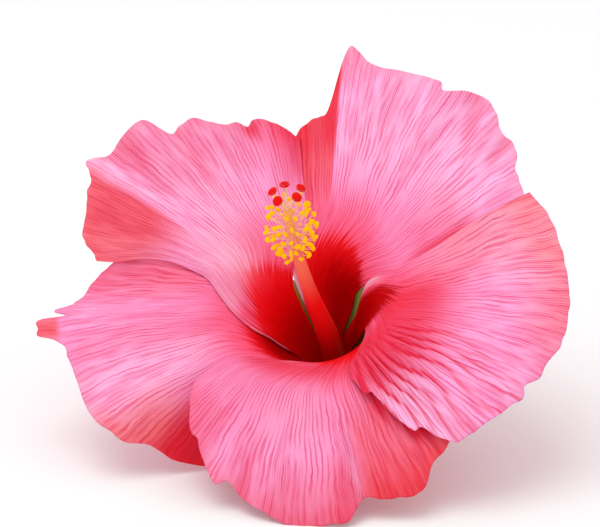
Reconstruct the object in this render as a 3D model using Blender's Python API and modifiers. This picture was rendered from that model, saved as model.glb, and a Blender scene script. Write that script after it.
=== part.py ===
"""A hibiscus flower, as picked, lying on a surface on its pedicel and two of its petals.

Units are metres, and +Z is up. Every piece is modelled in the flower's own frame, where +Z runs
along the flower's axis from the pedicel to the throat, and then hangs on one empty that tilts the
flower the way it lies. The five petals are bands of one common trumpet, the corolla: a petal is
given by its claw, its rim and how far it is lifted off the corolla, so that petals overlap but
never cross.
"""
import math
import random

import bmesh
import bpy
import numpy as np
from mathutils import Matrix, Vector

# How the flower lies
TILT = math.radians(30.5)
LEAN = math.radians(-10.0)
FLOWER_AT = (0.0082, 0.0188, 0.0101)

# Corolla: angles are from the flower's axis, distances run along the petal from its claw
CLAW_RADIUS = 0.0036
CLAW_HEIGHT = 0.0015
THROAT_ANGLE = 19.0
LIP_START, LIP_END = 0.018, 0.044
FLARE_MEAN, FLARE_SWING = 78.0, 15.0
CURL_START, CURL_END = 0.048, 0.084
CURL_MEAN, CURL_SWING = 18.0, 14.0
PROFILE_STEPS = 48

# Petals
PETAL_THICKNESS = 0.0008
LAYER = 0.0013
LAYER_START, LAYER_END = 0.006, 0.018
LAYER_SPREAD = 0.35
FOLD_START, FOLD_END = 0.035, 0.070
WAVE_START, WAVE_END = 0.046, 0.070
WAVE_HEIGHT = 0.0012
WAVES, WAVE_BEATS = 23, 14

# Folds: depth, and the angles at which they start in a sharp crest, are deepest and end
UPPER_FOLD = (0.0105, 75.3, 97, 118)
LEFT_FOLD = (0.0075, 143, 162, 186)
LOBE_DROP = 0.0287
LOBE_ANGLES = (205, 239)
LOBE_DISTANCES = (0.032, 0.066)
FRILL_HEIGHT = 0.0013
FRILL_TURN = 0.6
FRILL_DISTANCES = (0.030, 0.050)
STEP_DROP = 0.0016
STEP_ANGLES = (272.5, 276.0)
STEP_DISTANCES = (0.036, 0.070)

# Distances over which a petal turns from its claw's angles to its neck's
NECK_START, NECK_END = 0.006, 0.016

# A petal is the two angles of its claw and of its neck, where its first and last sides sweep
# out (start and end), the layer that each side lies in, how its last side bows (degrees,
# distance, width), its rim as (place across, angle, distance) from the first side to the last,
# and its grid
PETALS = {
    "petal_upper_right": {
        "claw": (53, 110), "neck": (45, 112), "first": (0.018, 0.036), "last": (0.022, 0.044),
        "layers": (-1, -1), "bow": (0, 0.05, 0.01),
        "rim": ((-1, 2, 0.058), (-0.75, 14, 0.0685), (-0.56, 23, 0.0712), (-0.42, 30, 0.0751),
                (-0.22, 40, 0.0790), (-0.10, 45.5, 0.0785), (-0.03, 50, 0.0760),
                (0.20, 62, 0.0774), (0.38, 70, 0.0782), (0.50, 75, 0.0812), (0.60, 78, 0.0680),
                (0.71, 82, 0.0640), (0.85, 90, 0.0611), (1, 102, 0.057)),
        "grid": (24, 15)},
    "petal_right": {
        "claw": (12, 50), "neck": (-18, 32), "first": (0.016, 0.038), "last": (0.0235, 0.036),
        "layers": (1, 0), "bow": (-2.5, 0.042, 0.01),
        "rim": ((-1, -76, 0.0392), (-0.80, -71.5, 0.0468), (-0.67, -68, 0.0548),
                (-0.53, -64, 0.0600), (-0.38, -59.5, 0.0662), (-0.12, -48, 0.0690),
                (0.16, -34.5, 0.0722), (0.5, -17, 0.0741), (0.85, 4, 0.0723), (1, 15, 0.0705)),
        "grid": (24, 15)},
    "petal_lower": {
        "claw": (266, 326), "neck": (266, 326), "first": (0.014, 0.040), "last": (0.014, 0.042),
        "layers": (0, 0), "bow": (-7, 0.027, 0.009),
        "rim": ((-1, 212, 0.0435), (-0.84, 216, 0.0506), (-0.68, 222, 0.0548),
                (-0.54, 229, 0.0590), (-0.30, 240.5, 0.0662), (-0.03, 256, 0.0719),
                (0.21, 268, 0.0729), (0.30, 273.5, 0.0712), (0.40, 280, 0.0699),
                (0.56, 288, 0.0718), (0.66, 293.5, 0.0676), (0.76, 299, 0.0658),
                (1, 316, 0.057)),
        "grid": (22, 15)},
    "petal_left": {
        "claw": (194, 254), "neck": (194, 254), "first": (0.011, 0.034), "last": (0.014, 0.042),
        "layers": (-1, -1), "bow": (0, 0.05, 0.01),
        "rim": ((-1, 151, 0.0585), (-0.92, 157, 0.0636), (-0.79, 165, 0.0700), (-0.61, 170.5, 0.0724),
                (-0.50, 174, 0.0765), (-0.40, 176, 0.0745), (-0.31, 178.2, 0.0802),
                (-0.20, 181.5, 0.0795), (-0.11, 185, 0.0742), (0.11, 194, 0.0731),
                (0.36, 205, 0.0731), (0.54, 212, 0.0707), (0.74, 219.5, 0.0653), (1, 232, 0.0515)),
        "grid": (24, 15)},
    "petal_upper_left": {
        "claw": (111.5, 187), "neck": (117, 191), "first": (0.0215, 0.037),
        "last": (0.025, 0.043), "layers": (0, 0), "bow": (-4.2, 0.0515, 0.011),
        "rim": ((-1, 89, 0.060), (-0.88, 92.5, 0.0632), (-0.67, 101, 0.0684),
                (-0.49, 109, 0.0684), (-0.32, 118, 0.0722), (-0.18, 124, 0.0722),
                (-0.08, 128, 0.0788), (0.14, 137.5, 0.0786), (0.25, 142, 0.0816),
                (0.33, 144.3, 0.0782), (0.54, 150, 0.0757), (0.77, 156, 0.0740), (1, 160, 0.0690)),
        "grid": (24, 15)},
}

# Staminal column: centre line in the flower's frame, and radius along it
COLUMN_PATH = ((0, 0, -0.0002), (0.0007, 0, 0.004), (0.0013, 0, 0.008), (0.0009, 0, 0.016),
               (0.0001, 0, 0.024), (-0.0008, 0.0003, 0.032), (-0.0014, 0.0009, 0.040),
               (-0.0017, 0.0018, 0.048), (-0.0018, 0.0028, 0.0545), (-0.0017, 0.0035, 0.0592))
COLUMN_RADII = (0.0030, 0.0029, 0.0028, 0.0026, 0.0022, 0.0018, 0.0016, 0.0014, 0.0013, 0.0013)
COLUMN_RINGS = 22
STAMENS = 64
STAMEN_START, STAMEN_END = 0.775, 0.948
STAMEN_CROWDING = 0.8
STAMEN_RISE, STAMEN_RISE_GAIN, STAMEN_RISE_SWING = 3.0, 30.0, 9.0
STAMEN_RISE_POWER = 3
FILAMENT_LENGTH = 0.0048
FILAMENT_SHORTEST = 0.42
FILAMENT_SWING = 0.12
FILAMENT_RADIUS = 0.00032
ANTHER_RADIUS = 0.0009
ROOT_DEPTH = 0.0009
GOLDEN_ANGLE = math.radians(137.508)

# Pistil: its foot stands in a socket in the column's tip
CLEARANCE = 0.0003
SOCKET_RADIUS, SOCKET_DEPTH = 0.0009, 0.0030
FOOT_RISE = 0.0012
BRANCH_ANGLES = (59, 141, 209, 278, 356)
BRANCH_REACH, BRANCH_RISE = 0.0031, 0.0033
KNEE_REACH, KNEE_RISE = 0.55, 0.35
BRANCH_OVERLAP = 0.0005
BRANCH_RADIUS = 0.0004
STIGMA_RADIUS, STIGMA_HEIGHT = 0.00122, 0.0015
STIGMA_TILT = 0.75

# Calyx, epicalyx and pedicel
CALYX_THICKNESS = 0.0009
CALYX_HOLE = 0.0024
CALYX_FLOOR = -0.0017
SEPALS = 5
SEPAL_SINUS, SEPAL_TIP = 0.012, 0.0245
SEPAL_AT = 44.0
SEPAL_POINT = 0.8
CUP_FLOOR = 0.22
CUP_GAP = 0.0003
RECEPTACLE_TOP = -0.0005
RECEPTACLE_RADIUS = 0.0020
COLLAR_RADIUS, COLLAR_TUBE = 0.0029, 0.0006
COLLAR_HEIGHT = -0.0033
BRACTEOLES = 7
BRACTEOLE_LENGTH, BRACTEOLE_WIDTH = 0.0115, 0.0022
BRACTEOLE_THICKNESS = 0.0008
BRACTEOLE_BEND = (14.0, 66.0)
BRACTEOLE_TAPER = 0.75
PEDICEL_RADIUS = 0.0013
PEDICEL_TURN = ((0.0012, 0.0040, -0.0057), (0.0030, 0.0070, -0.0081), (0.0063, 0.0098, -0.0090))
PEDICEL_END = (0.0235, 0.0205)
PEDICEL_FLAT = 0.00035
PEDICEL_RINGS = 17

COLOURS = {
    "petal": ((0.93, 0.22, 0.36), 0.45), "column": ((0.86, 0.30, 0.16), 0.45),
    "stigma": ((0.72, 0.03, 0.02), 0.6), "sepal": ((0.16, 0.35, 0.07), 0.5),
    "bracteole": ((0.20, 0.42, 0.10), 0.5), "pedicel": ((0.22, 0.36, 0.10), 0.5),
}


def start_scene():
    """An empty scene with one collection for the flower and one for its cutters."""
    for obj in list(bpy.data.objects):
        bpy.data.objects.remove(obj, do_unlink=True)
    for name in ("hibiscus_flower", "cutters"):
        bpy.context.scene.collection.children.link(bpy.data.collections.new(name))


def material(kind):
    found = bpy.data.materials.get(kind)
    if found:
        return found
    colour, roughness = COLOURS[kind]
    made = bpy.data.materials.new(kind)
    made.use_nodes = True
    shader = made.node_tree.nodes["Principled BSDF"]
    shader.inputs["Base Color"].default_value = (*colour, 1.0)
    shader.inputs["Roughness"].default_value = roughness
    shader.inputs["Metallic"].default_value = 0.0
    return made


def add_object(name, mesh, kind, collection="hibiscus_flower"):
    obj = bpy.data.objects.new(name, mesh)
    mesh.materials.clear()
    mesh.materials.append(material(kind))
    for polygon in mesh.polygons:
        polygon.use_smooth = True
    bpy.data.collections[collection].objects.link(obj)
    return obj


def evaluated_mesh(obj):
    """The object's mesh with its modifiers or curve bevel worked out, and its caps welded."""
    bpy.context.view_layer.update()
    seen = obj.evaluated_get(bpy.context.evaluated_depsgraph_get())
    mesh = bpy.data.meshes.new_from_object(seen)
    bm = bmesh.new()
    bm.from_mesh(mesh)
    bmesh.ops.remove_doubles(bm, verts=bm.verts, dist=1e-6)
    bm.to_mesh(mesh)
    bm.free()
    return mesh


def bake(obj):
    """Apply the object's modifiers."""
    mesh = evaluated_mesh(obj)
    obj.modifiers.clear()
    obj.data = mesh


def grid_mesh(name, columns, rows, place):
    """A grid over (u, v) in -1..1, split into triangles, with place giving each point."""
    bm = bmesh.new()
    bmesh.ops.create_grid(bm, x_segments=columns, y_segments=rows, size=1.0)
    bmesh.ops.triangulate(bm, faces=bm.faces)
    flat = np.array([vert.co[:] for vert in bm.verts])
    for vert, point in zip(bm.verts, place(flat[:, 0], flat[:, 1])):
        vert.co = point
    mesh = bpy.data.meshes.new(name)
    bm.to_mesh(mesh)
    bm.free()
    return mesh


def thicken(obj, thickness):
    shell = obj.modifiers.new("Thickness", "SOLIDIFY")
    shell.thickness = thickness
    shell.offset = 0.0
    bake(obj)


def tube(name, points, radii, kind, resolution, collection="hibiscus_flower"):
    """A closed tube through the points, with a radius at each."""
    curve = bpy.data.curves.new(name, "CURVE")
    curve.dimensions = "3D"
    curve.bevel_depth = 1.0
    curve.bevel_resolution = resolution
    curve.use_fill_caps = True
    spline = curve.splines.new("POLY")
    spline.points.add(len(points) - 1)
    for place, point, radius in zip(spline.points, points, radii):
        place.co = (*point, 1.0)
        place.radius = radius
    path = bpy.data.objects.new(name + "_path", curve)
    bpy.data.collections[collection].objects.link(path)
    mesh = evaluated_mesh(path)
    bpy.data.objects.remove(path, do_unlink=True)
    return add_object(name, mesh, kind, collection)


def fuse(body, pieces):
    """Union a collection of pieces with the body, and remove them."""
    union = body.modifiers.new("Union", "BOOLEAN")
    union.operation = "UNION"
    union.operand_type = "COLLECTION"
    union.collection = pieces
    union.solver = "EXACT"
    bake(body)
    for obj in list(pieces.objects):
        bpy.data.objects.remove(obj, do_unlink=True)
    bpy.data.collections.remove(pieces)


def repeats(name):
    """A collection of its own for pieces that are fused to one body."""
    made = bpy.data.collections.new(name)
    bpy.context.scene.collection.children.link(made)
    return made


def ease(t):
    t = np.clip(t, 0.0, 1.0)
    return t * t * (3.0 - 2.0 * t)


def between(x, start, end):
    return ease((x - start) / (end - start))


def bump(x, centre, width):
    return np.exp(-((x - centre) / width) ** 2)


def slope(angle, distance):
    """The corolla's angle from the flower's axis: a throat, a lip, and a rim that curls back."""
    up = np.sin(np.radians(angle))
    flare = FLARE_MEAN - FLARE_SWING * up
    curl = CURL_MEAN - CURL_SWING * up
    lip = 0.75 * between(distance, LIP_START, LIP_END) + 0.25 * np.clip(distance / LIP_END, 0, 1)
    opened = (flare - THROAT_ANGLE) * lip + curl * between(distance, CURL_START, CURL_END)
    return np.radians(THROAT_ANGLE + opened)


def corolla(angle, distance, lift):
    """Points at an angle round the axis and a distance from the claw, lifted off the corolla."""
    share = (np.arange(PROFILE_STEPS) + 0.5) / PROFILE_STEPS
    along = slope(angle[:, None], distance[:, None] * share)
    end = slope(angle, distance)
    radius = CLAW_RADIUS + np.sin(along).mean(1) * distance - np.cos(end) * lift
    height = CLAW_HEIGHT + np.cos(along).mean(1) * distance + np.sin(end) * lift
    turn = np.radians(angle)
    return np.stack([radius * np.cos(turn), radius * np.sin(turn), height], 1)


def valley(angle, low, middle, high):
    """A fold with a crisp crest at low, its bottom at middle, and an easy rise to high."""
    fall = np.clip((angle - low) / (middle - low), 0.0, 1.0)
    return fall ** 1.4 * (2.0 - fall) ** 0.6 * (1.0 - between(angle, middle, high))


def shared_folds(angle, distance):
    """Folds and waves that neighbouring petals share."""
    turn = np.radians(angle)
    folds = -UPPER_FOLD[0] * valley(angle, *UPPER_FOLD[1:])
    folds = folds - LEFT_FOLD[0] * valley(angle, *LEFT_FOLD[1:])
    waves = 0.6 * np.sin(turn * WAVES) + 0.4 * np.sin(turn * WAVE_BEATS + 2.0)
    waves = waves * WAVE_HEIGHT * (0.65 + 0.35 * np.sin(turn))
    return folds * between(distance, FOLD_START, FOLD_END) \
        + waves * between(distance, WAVE_START, WAVE_END)


def own_folds(name, side, angle, distance):
    """Where one petal alone bends: the left one's lobe, the right one's frill, the lower's step."""
    if name == "petal_left":
        return -LOBE_DROP * between(angle, *LOBE_ANGLES) * between(distance, *LOBE_DISTANCES)
    if name == "petal_right":
        frill = between(-side, 0.5, 1.0) * between(distance, *FRILL_DISTANCES)
        return FRILL_HEIGHT * frill * (1.0 + np.sin(angle * FRILL_TURN))
    if name == "petal_lower":
        return -STEP_DROP * between(angle, *STEP_ANGLES) * between(distance, *STEP_DISTANCES)
    return 0.0 * distance


def through(knots, place):
    """A smooth curve through knots of (place, values): cubics with slopes from their neighbours."""
    knots = np.array(knots, float)
    places, values = knots[:, 0], knots[:, 1:]
    slopes = np.gradient(values, places, axis=0)
    first = np.clip(np.searchsorted(places, place) - 1, 0, len(places) - 2)
    step = (places[first + 1] - places[first])[:, None]
    t = (place - places[first])[:, None] / step
    rise = values[first + 1] - values[first]
    before, after = slopes[first] * step, slopes[first + 1] * step
    return values[first] + t * (before + t * (3 * rise - 2 * before - after
                                              + t * (before + after - 2 * rise)))


def petal_points(name, side, length):
    """Points of a petal: side runs across it and length from claw to rim, both -1 to 1."""
    petal = PETALS[name]
    share = (side + 1.0) / 2.0
    rim_angle, rim_distance = through(petal["rim"], side).T
    distance = rim_distance * (length + 1.0) / 2.0
    base, neck = (petal[part][0] + (petal[part][1] - petal[part][0]) * share
                  for part in ("claw", "neck"))
    claw = base + (neck - base) * between(distance, NECK_START, NECK_END)
    start = petal["first"][0] + (petal["last"][0] - petal["first"][0]) * share
    end = petal["first"][1] + (petal["last"][1] - petal["first"][1]) * share
    bow, bow_at, bow_width = petal["bow"]
    bowed = bow * between(side, 0.3, 1.0) * bump(distance, bow_at, bow_width)
    angle = claw + (rim_angle - claw) * between(distance, start, end) + bowed
    layer = petal["layers"][0] + (petal["layers"][1] - petal["layers"][0]) * between(side, 0.2, 0.9)
    spread = 1.0 + LAYER_SPREAD * between(distance, LAYER_END, FOLD_END)
    lift = layer * LAYER * spread * between(distance, LAYER_START, LAYER_END)
    lift = lift + shared_folds(angle, distance) + own_folds(name, side, angle, distance)
    return corolla(angle, distance, lift)


def flower_matrix():
    tilt = Matrix.Rotation(LEAN, 4, "Y") @ Matrix.Rotation(TILT, 4, "X")
    return Matrix.Translation(FLOWER_AT) @ tilt


def press_flat(obj):
    """Flatten what would sink below the surface that the flower lies on."""
    to_world = flower_matrix()
    to_flower = to_world.inverted()
    for vert in obj.data.vertices:
        place = to_world @ vert.co
        if place.z < 0.0:
            place.z = 0.0
            vert.co = to_flower @ place


def make_petal(name):
    columns, rows = PETALS[name]["grid"]
    mesh = grid_mesh(name, columns, rows, lambda u, v: petal_points(name, u, v))
    petal = add_object(name, mesh, "petal")
    thicken(petal, PETAL_THICKNESS)
    press_flat(petal)
    return petal


def along_column(share):
    """Point and direction on the column's centre line, by share of its length."""
    points = [Vector(point) for point in COLUMN_PATH]
    steps = [(b - a).length for a, b in zip(points, points[1:])]
    left = share * sum(steps)
    for start, end, step in zip(points, points[1:], steps):
        if left <= step:
            break
        left -= step
    return start.lerp(end, left / step), (end - start).normalized()


def column_tip():
    return along_column(1.0)


def outward(direction, turn):
    """A unit vector square to the direction, turned about it."""
    side = direction.cross(Vector((0, 1, 0))).normalized()
    return (Matrix.Rotation(turn, 3, direction) @ side).normalized()


def cut_socket(column):
    tip, direction = column_tip()
    bpy.ops.mesh.primitive_cylinder_add(vertices=12, radius=SOCKET_RADIUS,
                                        depth=2.0 * SOCKET_DEPTH, location=tip)
    cutter = bpy.context.object
    cutter.name = "socket_cutter"
    cutter.rotation_euler = direction.to_track_quat("Z", "Y").to_euler()
    cutter.display_type = "WIRE"
    cutter.hide_render = True
    for home in list(cutter.users_collection):
        home.objects.unlink(cutter)
    bpy.data.collections["cutters"].objects.link(cutter)
    cut = column.modifiers.new("Socket", "BOOLEAN")
    cut.operation = "DIFFERENCE"
    cut.object = cutter
    cut.solver = "EXACT"
    bake(column)
    bpy.data.objects.remove(cutter, do_unlink=True)


def add_stamen(number, chance):
    """A filament and its anther, out of the column and a little towards its tip."""
    share = number / (STAMENS - 1)
    height = STAMEN_START + (STAMEN_END - STAMEN_START) * share ** STAMEN_CROWDING
    root, direction = along_column(height)
    out = outward(direction, number * GOLDEN_ANGLE)
    swing = chance.uniform(-STAMEN_RISE_SWING, STAMEN_RISE_SWING)
    rise = math.radians(STAMEN_RISE + STAMEN_RISE_GAIN * share ** STAMEN_RISE_POWER + swing)
    way = out * math.cos(rise) + direction * math.sin(rise)
    swell = math.sin(math.pi * (0.06 + 0.60 * share))
    length = FILAMENT_LENGTH * (FILAMENT_SHORTEST + (1.0 - FILAMENT_SHORTEST) * swell)
    length *= 1.0 + chance.uniform(-FILAMENT_SWING, FILAMENT_SWING)
    start = root + out * ROOT_DEPTH
    end = root + way * (COLUMN_RADII[-1] + length)
    tube(f"filament_{number}", (start, end), (FILAMENT_RADIUS, FILAMENT_RADIUS), "column", 0,
         "stamens")
    bm = bmesh.new()
    bmesh.ops.create_icosphere(bm, subdivisions=1, radius=ANTHER_RADIUS)
    turn = Matrix.Rotation(chance.uniform(0.0, math.pi), 4, way)
    bmesh.ops.transform(bm, matrix=Matrix.Translation(end) @ turn, verts=bm.verts)
    mesh = bpy.data.meshes.new(f"anther_{number}")
    bm.to_mesh(mesh)
    bm.free()
    add_object(f"anther_{number}", mesh, "column", "stamens")


def make_column():
    """The staminal column: a slim bent tube, its stamens all round its upper part."""
    knots = [(place, *point, radius)
             for place, (point, radius) in enumerate(zip(COLUMN_PATH, COLUMN_RADII))]
    line = through(knots, np.linspace(0.0, len(knots) - 1.0, COLUMN_RINGS))
    column = tube("staminal_column", line[:, :3], line[:, 3], "column", 4)
    cut_socket(column)
    stamens = repeats("stamens")
    chance = random.Random(7)
    for number in range(STAMENS):
        add_stamen(number, chance)
    fuse(column, stamens)
    return column


def make_pistil():
    """The style's tip with its five branches, each under a round stigma."""
    tip, direction = column_tip()
    foot = tip - direction * (SOCKET_DEPTH - CLEARANCE)
    top = tip + direction * FOOT_RISE
    radius = SOCKET_RADIUS - CLEARANCE
    pistil = tube("pistil", (foot, top), (radius, radius), "stigma", 4)
    branches = repeats("branches")
    for number, angle in enumerate(BRANCH_ANGLES):
        out = outward(direction, math.radians(angle))
        root = top - direction * BRANCH_OVERLAP
        knee = top + out * BRANCH_REACH * KNEE_REACH + direction * BRANCH_RISE * KNEE_RISE
        end = top + out * BRANCH_REACH + direction * BRANCH_RISE
        tube(f"branch_{number}", (root, knee, end), (BRANCH_RADIUS,) * 3, "stigma", 1, "branches")
        bm = bmesh.new()
        bmesh.ops.create_uvsphere(bm, u_segments=10, v_segments=6, radius=STIGMA_RADIUS)
        flatten = Matrix.Diagonal((1.0, 1.0, 0.5 * STIGMA_HEIGHT / STIGMA_RADIUS, 1.0))
        facing = (out * STIGMA_TILT + direction).to_track_quat("Z", "Y").to_matrix().to_4x4()
        place = Matrix.Translation(end) @ facing @ flatten
        bmesh.ops.transform(bm, matrix=place, verts=bm.verts)
        mesh = bpy.data.meshes.new(f"stigma_{number}")
        bm.to_mesh(mesh)
        bm.free()
        add_object(f"stigma_{number}", mesh, "stigma", "branches")
    fuse(pistil, branches)
    return pistil


def calyx_points(side, length):
    """A cup that follows the corolla's tube from outside and ends in five pointed sepals."""
    angle = 180.0 * (side + 1.0)
    share = (length + 1.0) / 2.0
    turns = (angle - SEPAL_AT) * SEPALS / 360.0 + 0.5
    lobe = 1.0 - np.abs(2.0 * (turns - np.floor(turns)) - 1.0)
    top = SEPAL_SINUS + (SEPAL_TIP - SEPAL_SINUS) * lobe ** SEPAL_POINT
    distance = top * np.clip((share - CUP_FLOOR) / (1.0 - CUP_FLOOR), 0.0, 1.0)
    lift = -0.5 * (PETAL_THICKNESS + CALYX_THICKNESS) - CLEARANCE - CUP_GAP
    lift = lift - (LAYER + 0.0002) * between(distance, 0.0, LAYER_END)
    wall = corolla(angle, distance, lift)
    floor = np.clip(share / CUP_FLOOR, 0.0, 1.0)
    turn = np.radians(angle)
    reach = CALYX_HOLE + (np.hypot(wall[:, 0], wall[:, 1]) - CALYX_HOLE) * np.sin(floor * math.pi / 2)
    height = CALYX_FLOOR + (wall[:, 2] - CALYX_FLOOR) * (1.0 - np.cos(floor * math.pi / 2))
    return np.stack([reach * np.cos(turn), reach * np.sin(turn), height], 1)


def make_calyx():
    calyx = add_object("calyx", grid_mesh("calyx", 40, 8, calyx_points), "sepal")
    bm = bmesh.new()
    bm.from_mesh(calyx.data)
    bmesh.ops.remove_doubles(bm, verts=bm.verts, dist=1e-6)
    bm.to_mesh(calyx.data)
    bm.free()
    thicken(calyx, CALYX_THICKNESS)
    return calyx


def bracteole_points(side, length):
    """A narrow leaf that leaves the collar sideways and bends up beside the calyx."""
    share = (length + 1.0) / 2.0
    half = 0.5 * BRACTEOLE_WIDTH * (0.45 + 0.55 * np.sin(math.pi * (0.15 + 0.75 * share)))
    half = half * (1.0 - BRACTEOLE_TAPER * between(share, 0.7, 1.0))
    bend = np.radians(BRACTEOLE_BEND[0] + (BRACTEOLE_BEND[1] - BRACTEOLE_BEND[0]) * share)
    reach = BRACTEOLE_LENGTH * share * np.cos(0.5 * bend)
    rise = BRACTEOLE_LENGTH * share * np.sin(0.5 * bend)
    return np.stack([COLLAR_RADIUS + reach, half * side, COLLAR_HEIGHT + rise], 1)


def make_epicalyx():
    """A collar under the calyx with a ring of narrow bracteoles."""
    bpy.ops.mesh.primitive_torus_add(major_segments=28, minor_segments=8,
                                     major_radius=COLLAR_RADIUS, minor_radius=COLLAR_TUBE,
                                     location=(0, 0, COLLAR_HEIGHT))
    ring = bpy.context.object
    ring.data.transform(ring.matrix_world)
    collar = add_object("epicalyx", ring.data.copy(), "bracteole")
    bpy.data.objects.remove(ring, do_unlink=True)
    leaves = repeats("bracteoles")
    for number in range(BRACTEOLES):
        name = f"bracteole_{number}"
        leaf = add_object(name, grid_mesh(name, 2, 8, bracteole_points), "bracteole", "bracteoles")
        leaf.data.transform(Matrix.Rotation(math.tau * number / BRACTEOLES, 4, "Z"))
        thicken(leaf, BRACTEOLE_THICKNESS)
    fuse(collar, leaves)
    return collar


def make_pedicel():
    """The stalk: a receptacle under the calyx, a bend, and a run along the surface."""
    to_flower = flower_matrix().inverted()
    base = Vector(FLOWER_AT)
    height = PEDICEL_RADIUS - PEDICEL_FLAT
    turn = [base + Vector(point) for point in PEDICEL_TURN]
    end = Vector((base.x + PEDICEL_END[0], base.y + PEDICEL_END[1], height))
    run = [turn[-1].lerp(end, step / 4) for step in range(1, 5)]
    for point in run:
        point.z = height
    knots = [(0, 0, RECEPTACLE_TOP, RECEPTACLE_RADIUS), (0, 0, COLLAR_HEIGHT, RECEPTACLE_RADIUS)]
    knots += [(*(to_flower @ point), PEDICEL_RADIUS) for point in turn + run]
    knots = [(place, *knot) for place, knot in enumerate(knots)]
    line = through(knots, np.linspace(0.0, len(knots) - 1.0, PEDICEL_RINGS))
    pedicel = tube("pedicel", line[:, :3], line[:, 3], "pedicel", 4)
    press_flat(pedicel)
    return pedicel


def main():
    start_scene()
    pieces = [make_petal(name) for name in PETALS]
    pieces += [make_column(), make_pistil(), make_calyx(), make_epicalyx(), make_pedicel()]
    frame = bpy.data.objects.new("flower_frame", None)
    bpy.data.collections["hibiscus_flower"].objects.link(frame)
    frame.matrix_world = flower_matrix()
    for piece in pieces:
        piece.parent = frame


main()
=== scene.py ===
"""The looks of a hibiscus flower: veined petals, stamens, stigmas and green parts over the frame.

Units are metres. Surfaces are worked out in the flower's own frame, where +Z runs along the
flower's axis, and are then tilted the way the flower lies. Each petal is a band of one common
trumpet, the corolla, as in the part's source, with finer folds, wrinkles and a scalloped rim.
"""
import math
from functools import partial

import bmesh
import bpy
import numpy as np
from mathutils import Matrix, Vector


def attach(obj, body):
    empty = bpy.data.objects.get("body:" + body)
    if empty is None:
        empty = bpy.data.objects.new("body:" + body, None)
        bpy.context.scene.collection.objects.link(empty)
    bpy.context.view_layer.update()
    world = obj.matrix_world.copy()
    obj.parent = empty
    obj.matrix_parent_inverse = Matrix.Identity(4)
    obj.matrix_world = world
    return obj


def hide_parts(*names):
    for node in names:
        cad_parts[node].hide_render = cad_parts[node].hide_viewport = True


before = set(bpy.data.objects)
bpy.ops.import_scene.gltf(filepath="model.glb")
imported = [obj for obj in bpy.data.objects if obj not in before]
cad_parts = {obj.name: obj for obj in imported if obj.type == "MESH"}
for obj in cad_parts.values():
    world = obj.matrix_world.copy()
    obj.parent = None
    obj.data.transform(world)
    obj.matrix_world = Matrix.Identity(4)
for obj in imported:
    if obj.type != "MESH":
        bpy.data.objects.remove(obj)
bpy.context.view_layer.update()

# How the flower lies
TILT = math.radians(30.5)
LEAN = math.radians(-10.0)
FLOWER_AT = (0.0082, 0.0188, 0.0101)

# Camera, from the photograph's viewing angle
VIEW_ELEVATION = math.radians(22.0)
VIEW_DISTANCE = 0.6
FOCAL_PIXELS = 2460.0
PICTURE = (600.0, 527.0)
CLAW_PIXEL = (335.0, 376.0)
SENSOR = 36.0

# Floor and light
FLOOR_REACH, FLOOR_LEVEL = 1.5, -0.00005
SKY_STRENGTH = 0.86
KEY_AT, KEY_AIM = (-0.35, -0.25, 1.5), (0, 0, 0.03)
KEY_SIZE, KEY_POWER = 1.2, 7.2

# Corolla: angles are from the flower's axis, distances run along the petal from its claw
CLAW_RADIUS = 0.0036
CLAW_HEIGHT = 0.0015
THROAT_ANGLE = 19.0
LIP_START, LIP_END = 0.018, 0.044
FLARE_MEAN, FLARE_SWING = 78.0, 15.0
CURL_START, CURL_END = 0.048, 0.084
CURL_MEAN, CURL_SWING = 18.0, 14.0
PROFILE_STEPS = 48

# Petals
PETAL_THICKNESS = 0.00042
LAYER = 0.0013
LAYER_START, LAYER_END = 0.006, 0.018
LAYER_SPREAD = 0.35
FOLD_START, FOLD_END = 0.035, 0.07
WAVE_START, WAVE_END = 0.046, 0.07
WAVE_HEIGHT = 0.0012
WAVES, WAVE_BEATS = 23, 14
CREST = 75.3
# Folds: depth, then the angles of the crest, the bottom and the far side
FOLDS = ((0.0105, CREST, 97, 118), (0.0075, 143, 162, 186))
LOBE_DROP = 0.0287
PETAL_LENGTH = 0.08
PETAL_GRID = (200, 150)
EDGE_DROOP = 0.0006
DROOPS = {"petal_upper_left": (1.0, 1.0), "petal_right": (1.0, 1.0), "petal_lower": (1.0, 0.0)}
PLEAT_HEIGHT = 0.0005
RIM_ROUGHNESS, FACE_ROUGHNESS = 0.00022, 0.00013

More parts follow.
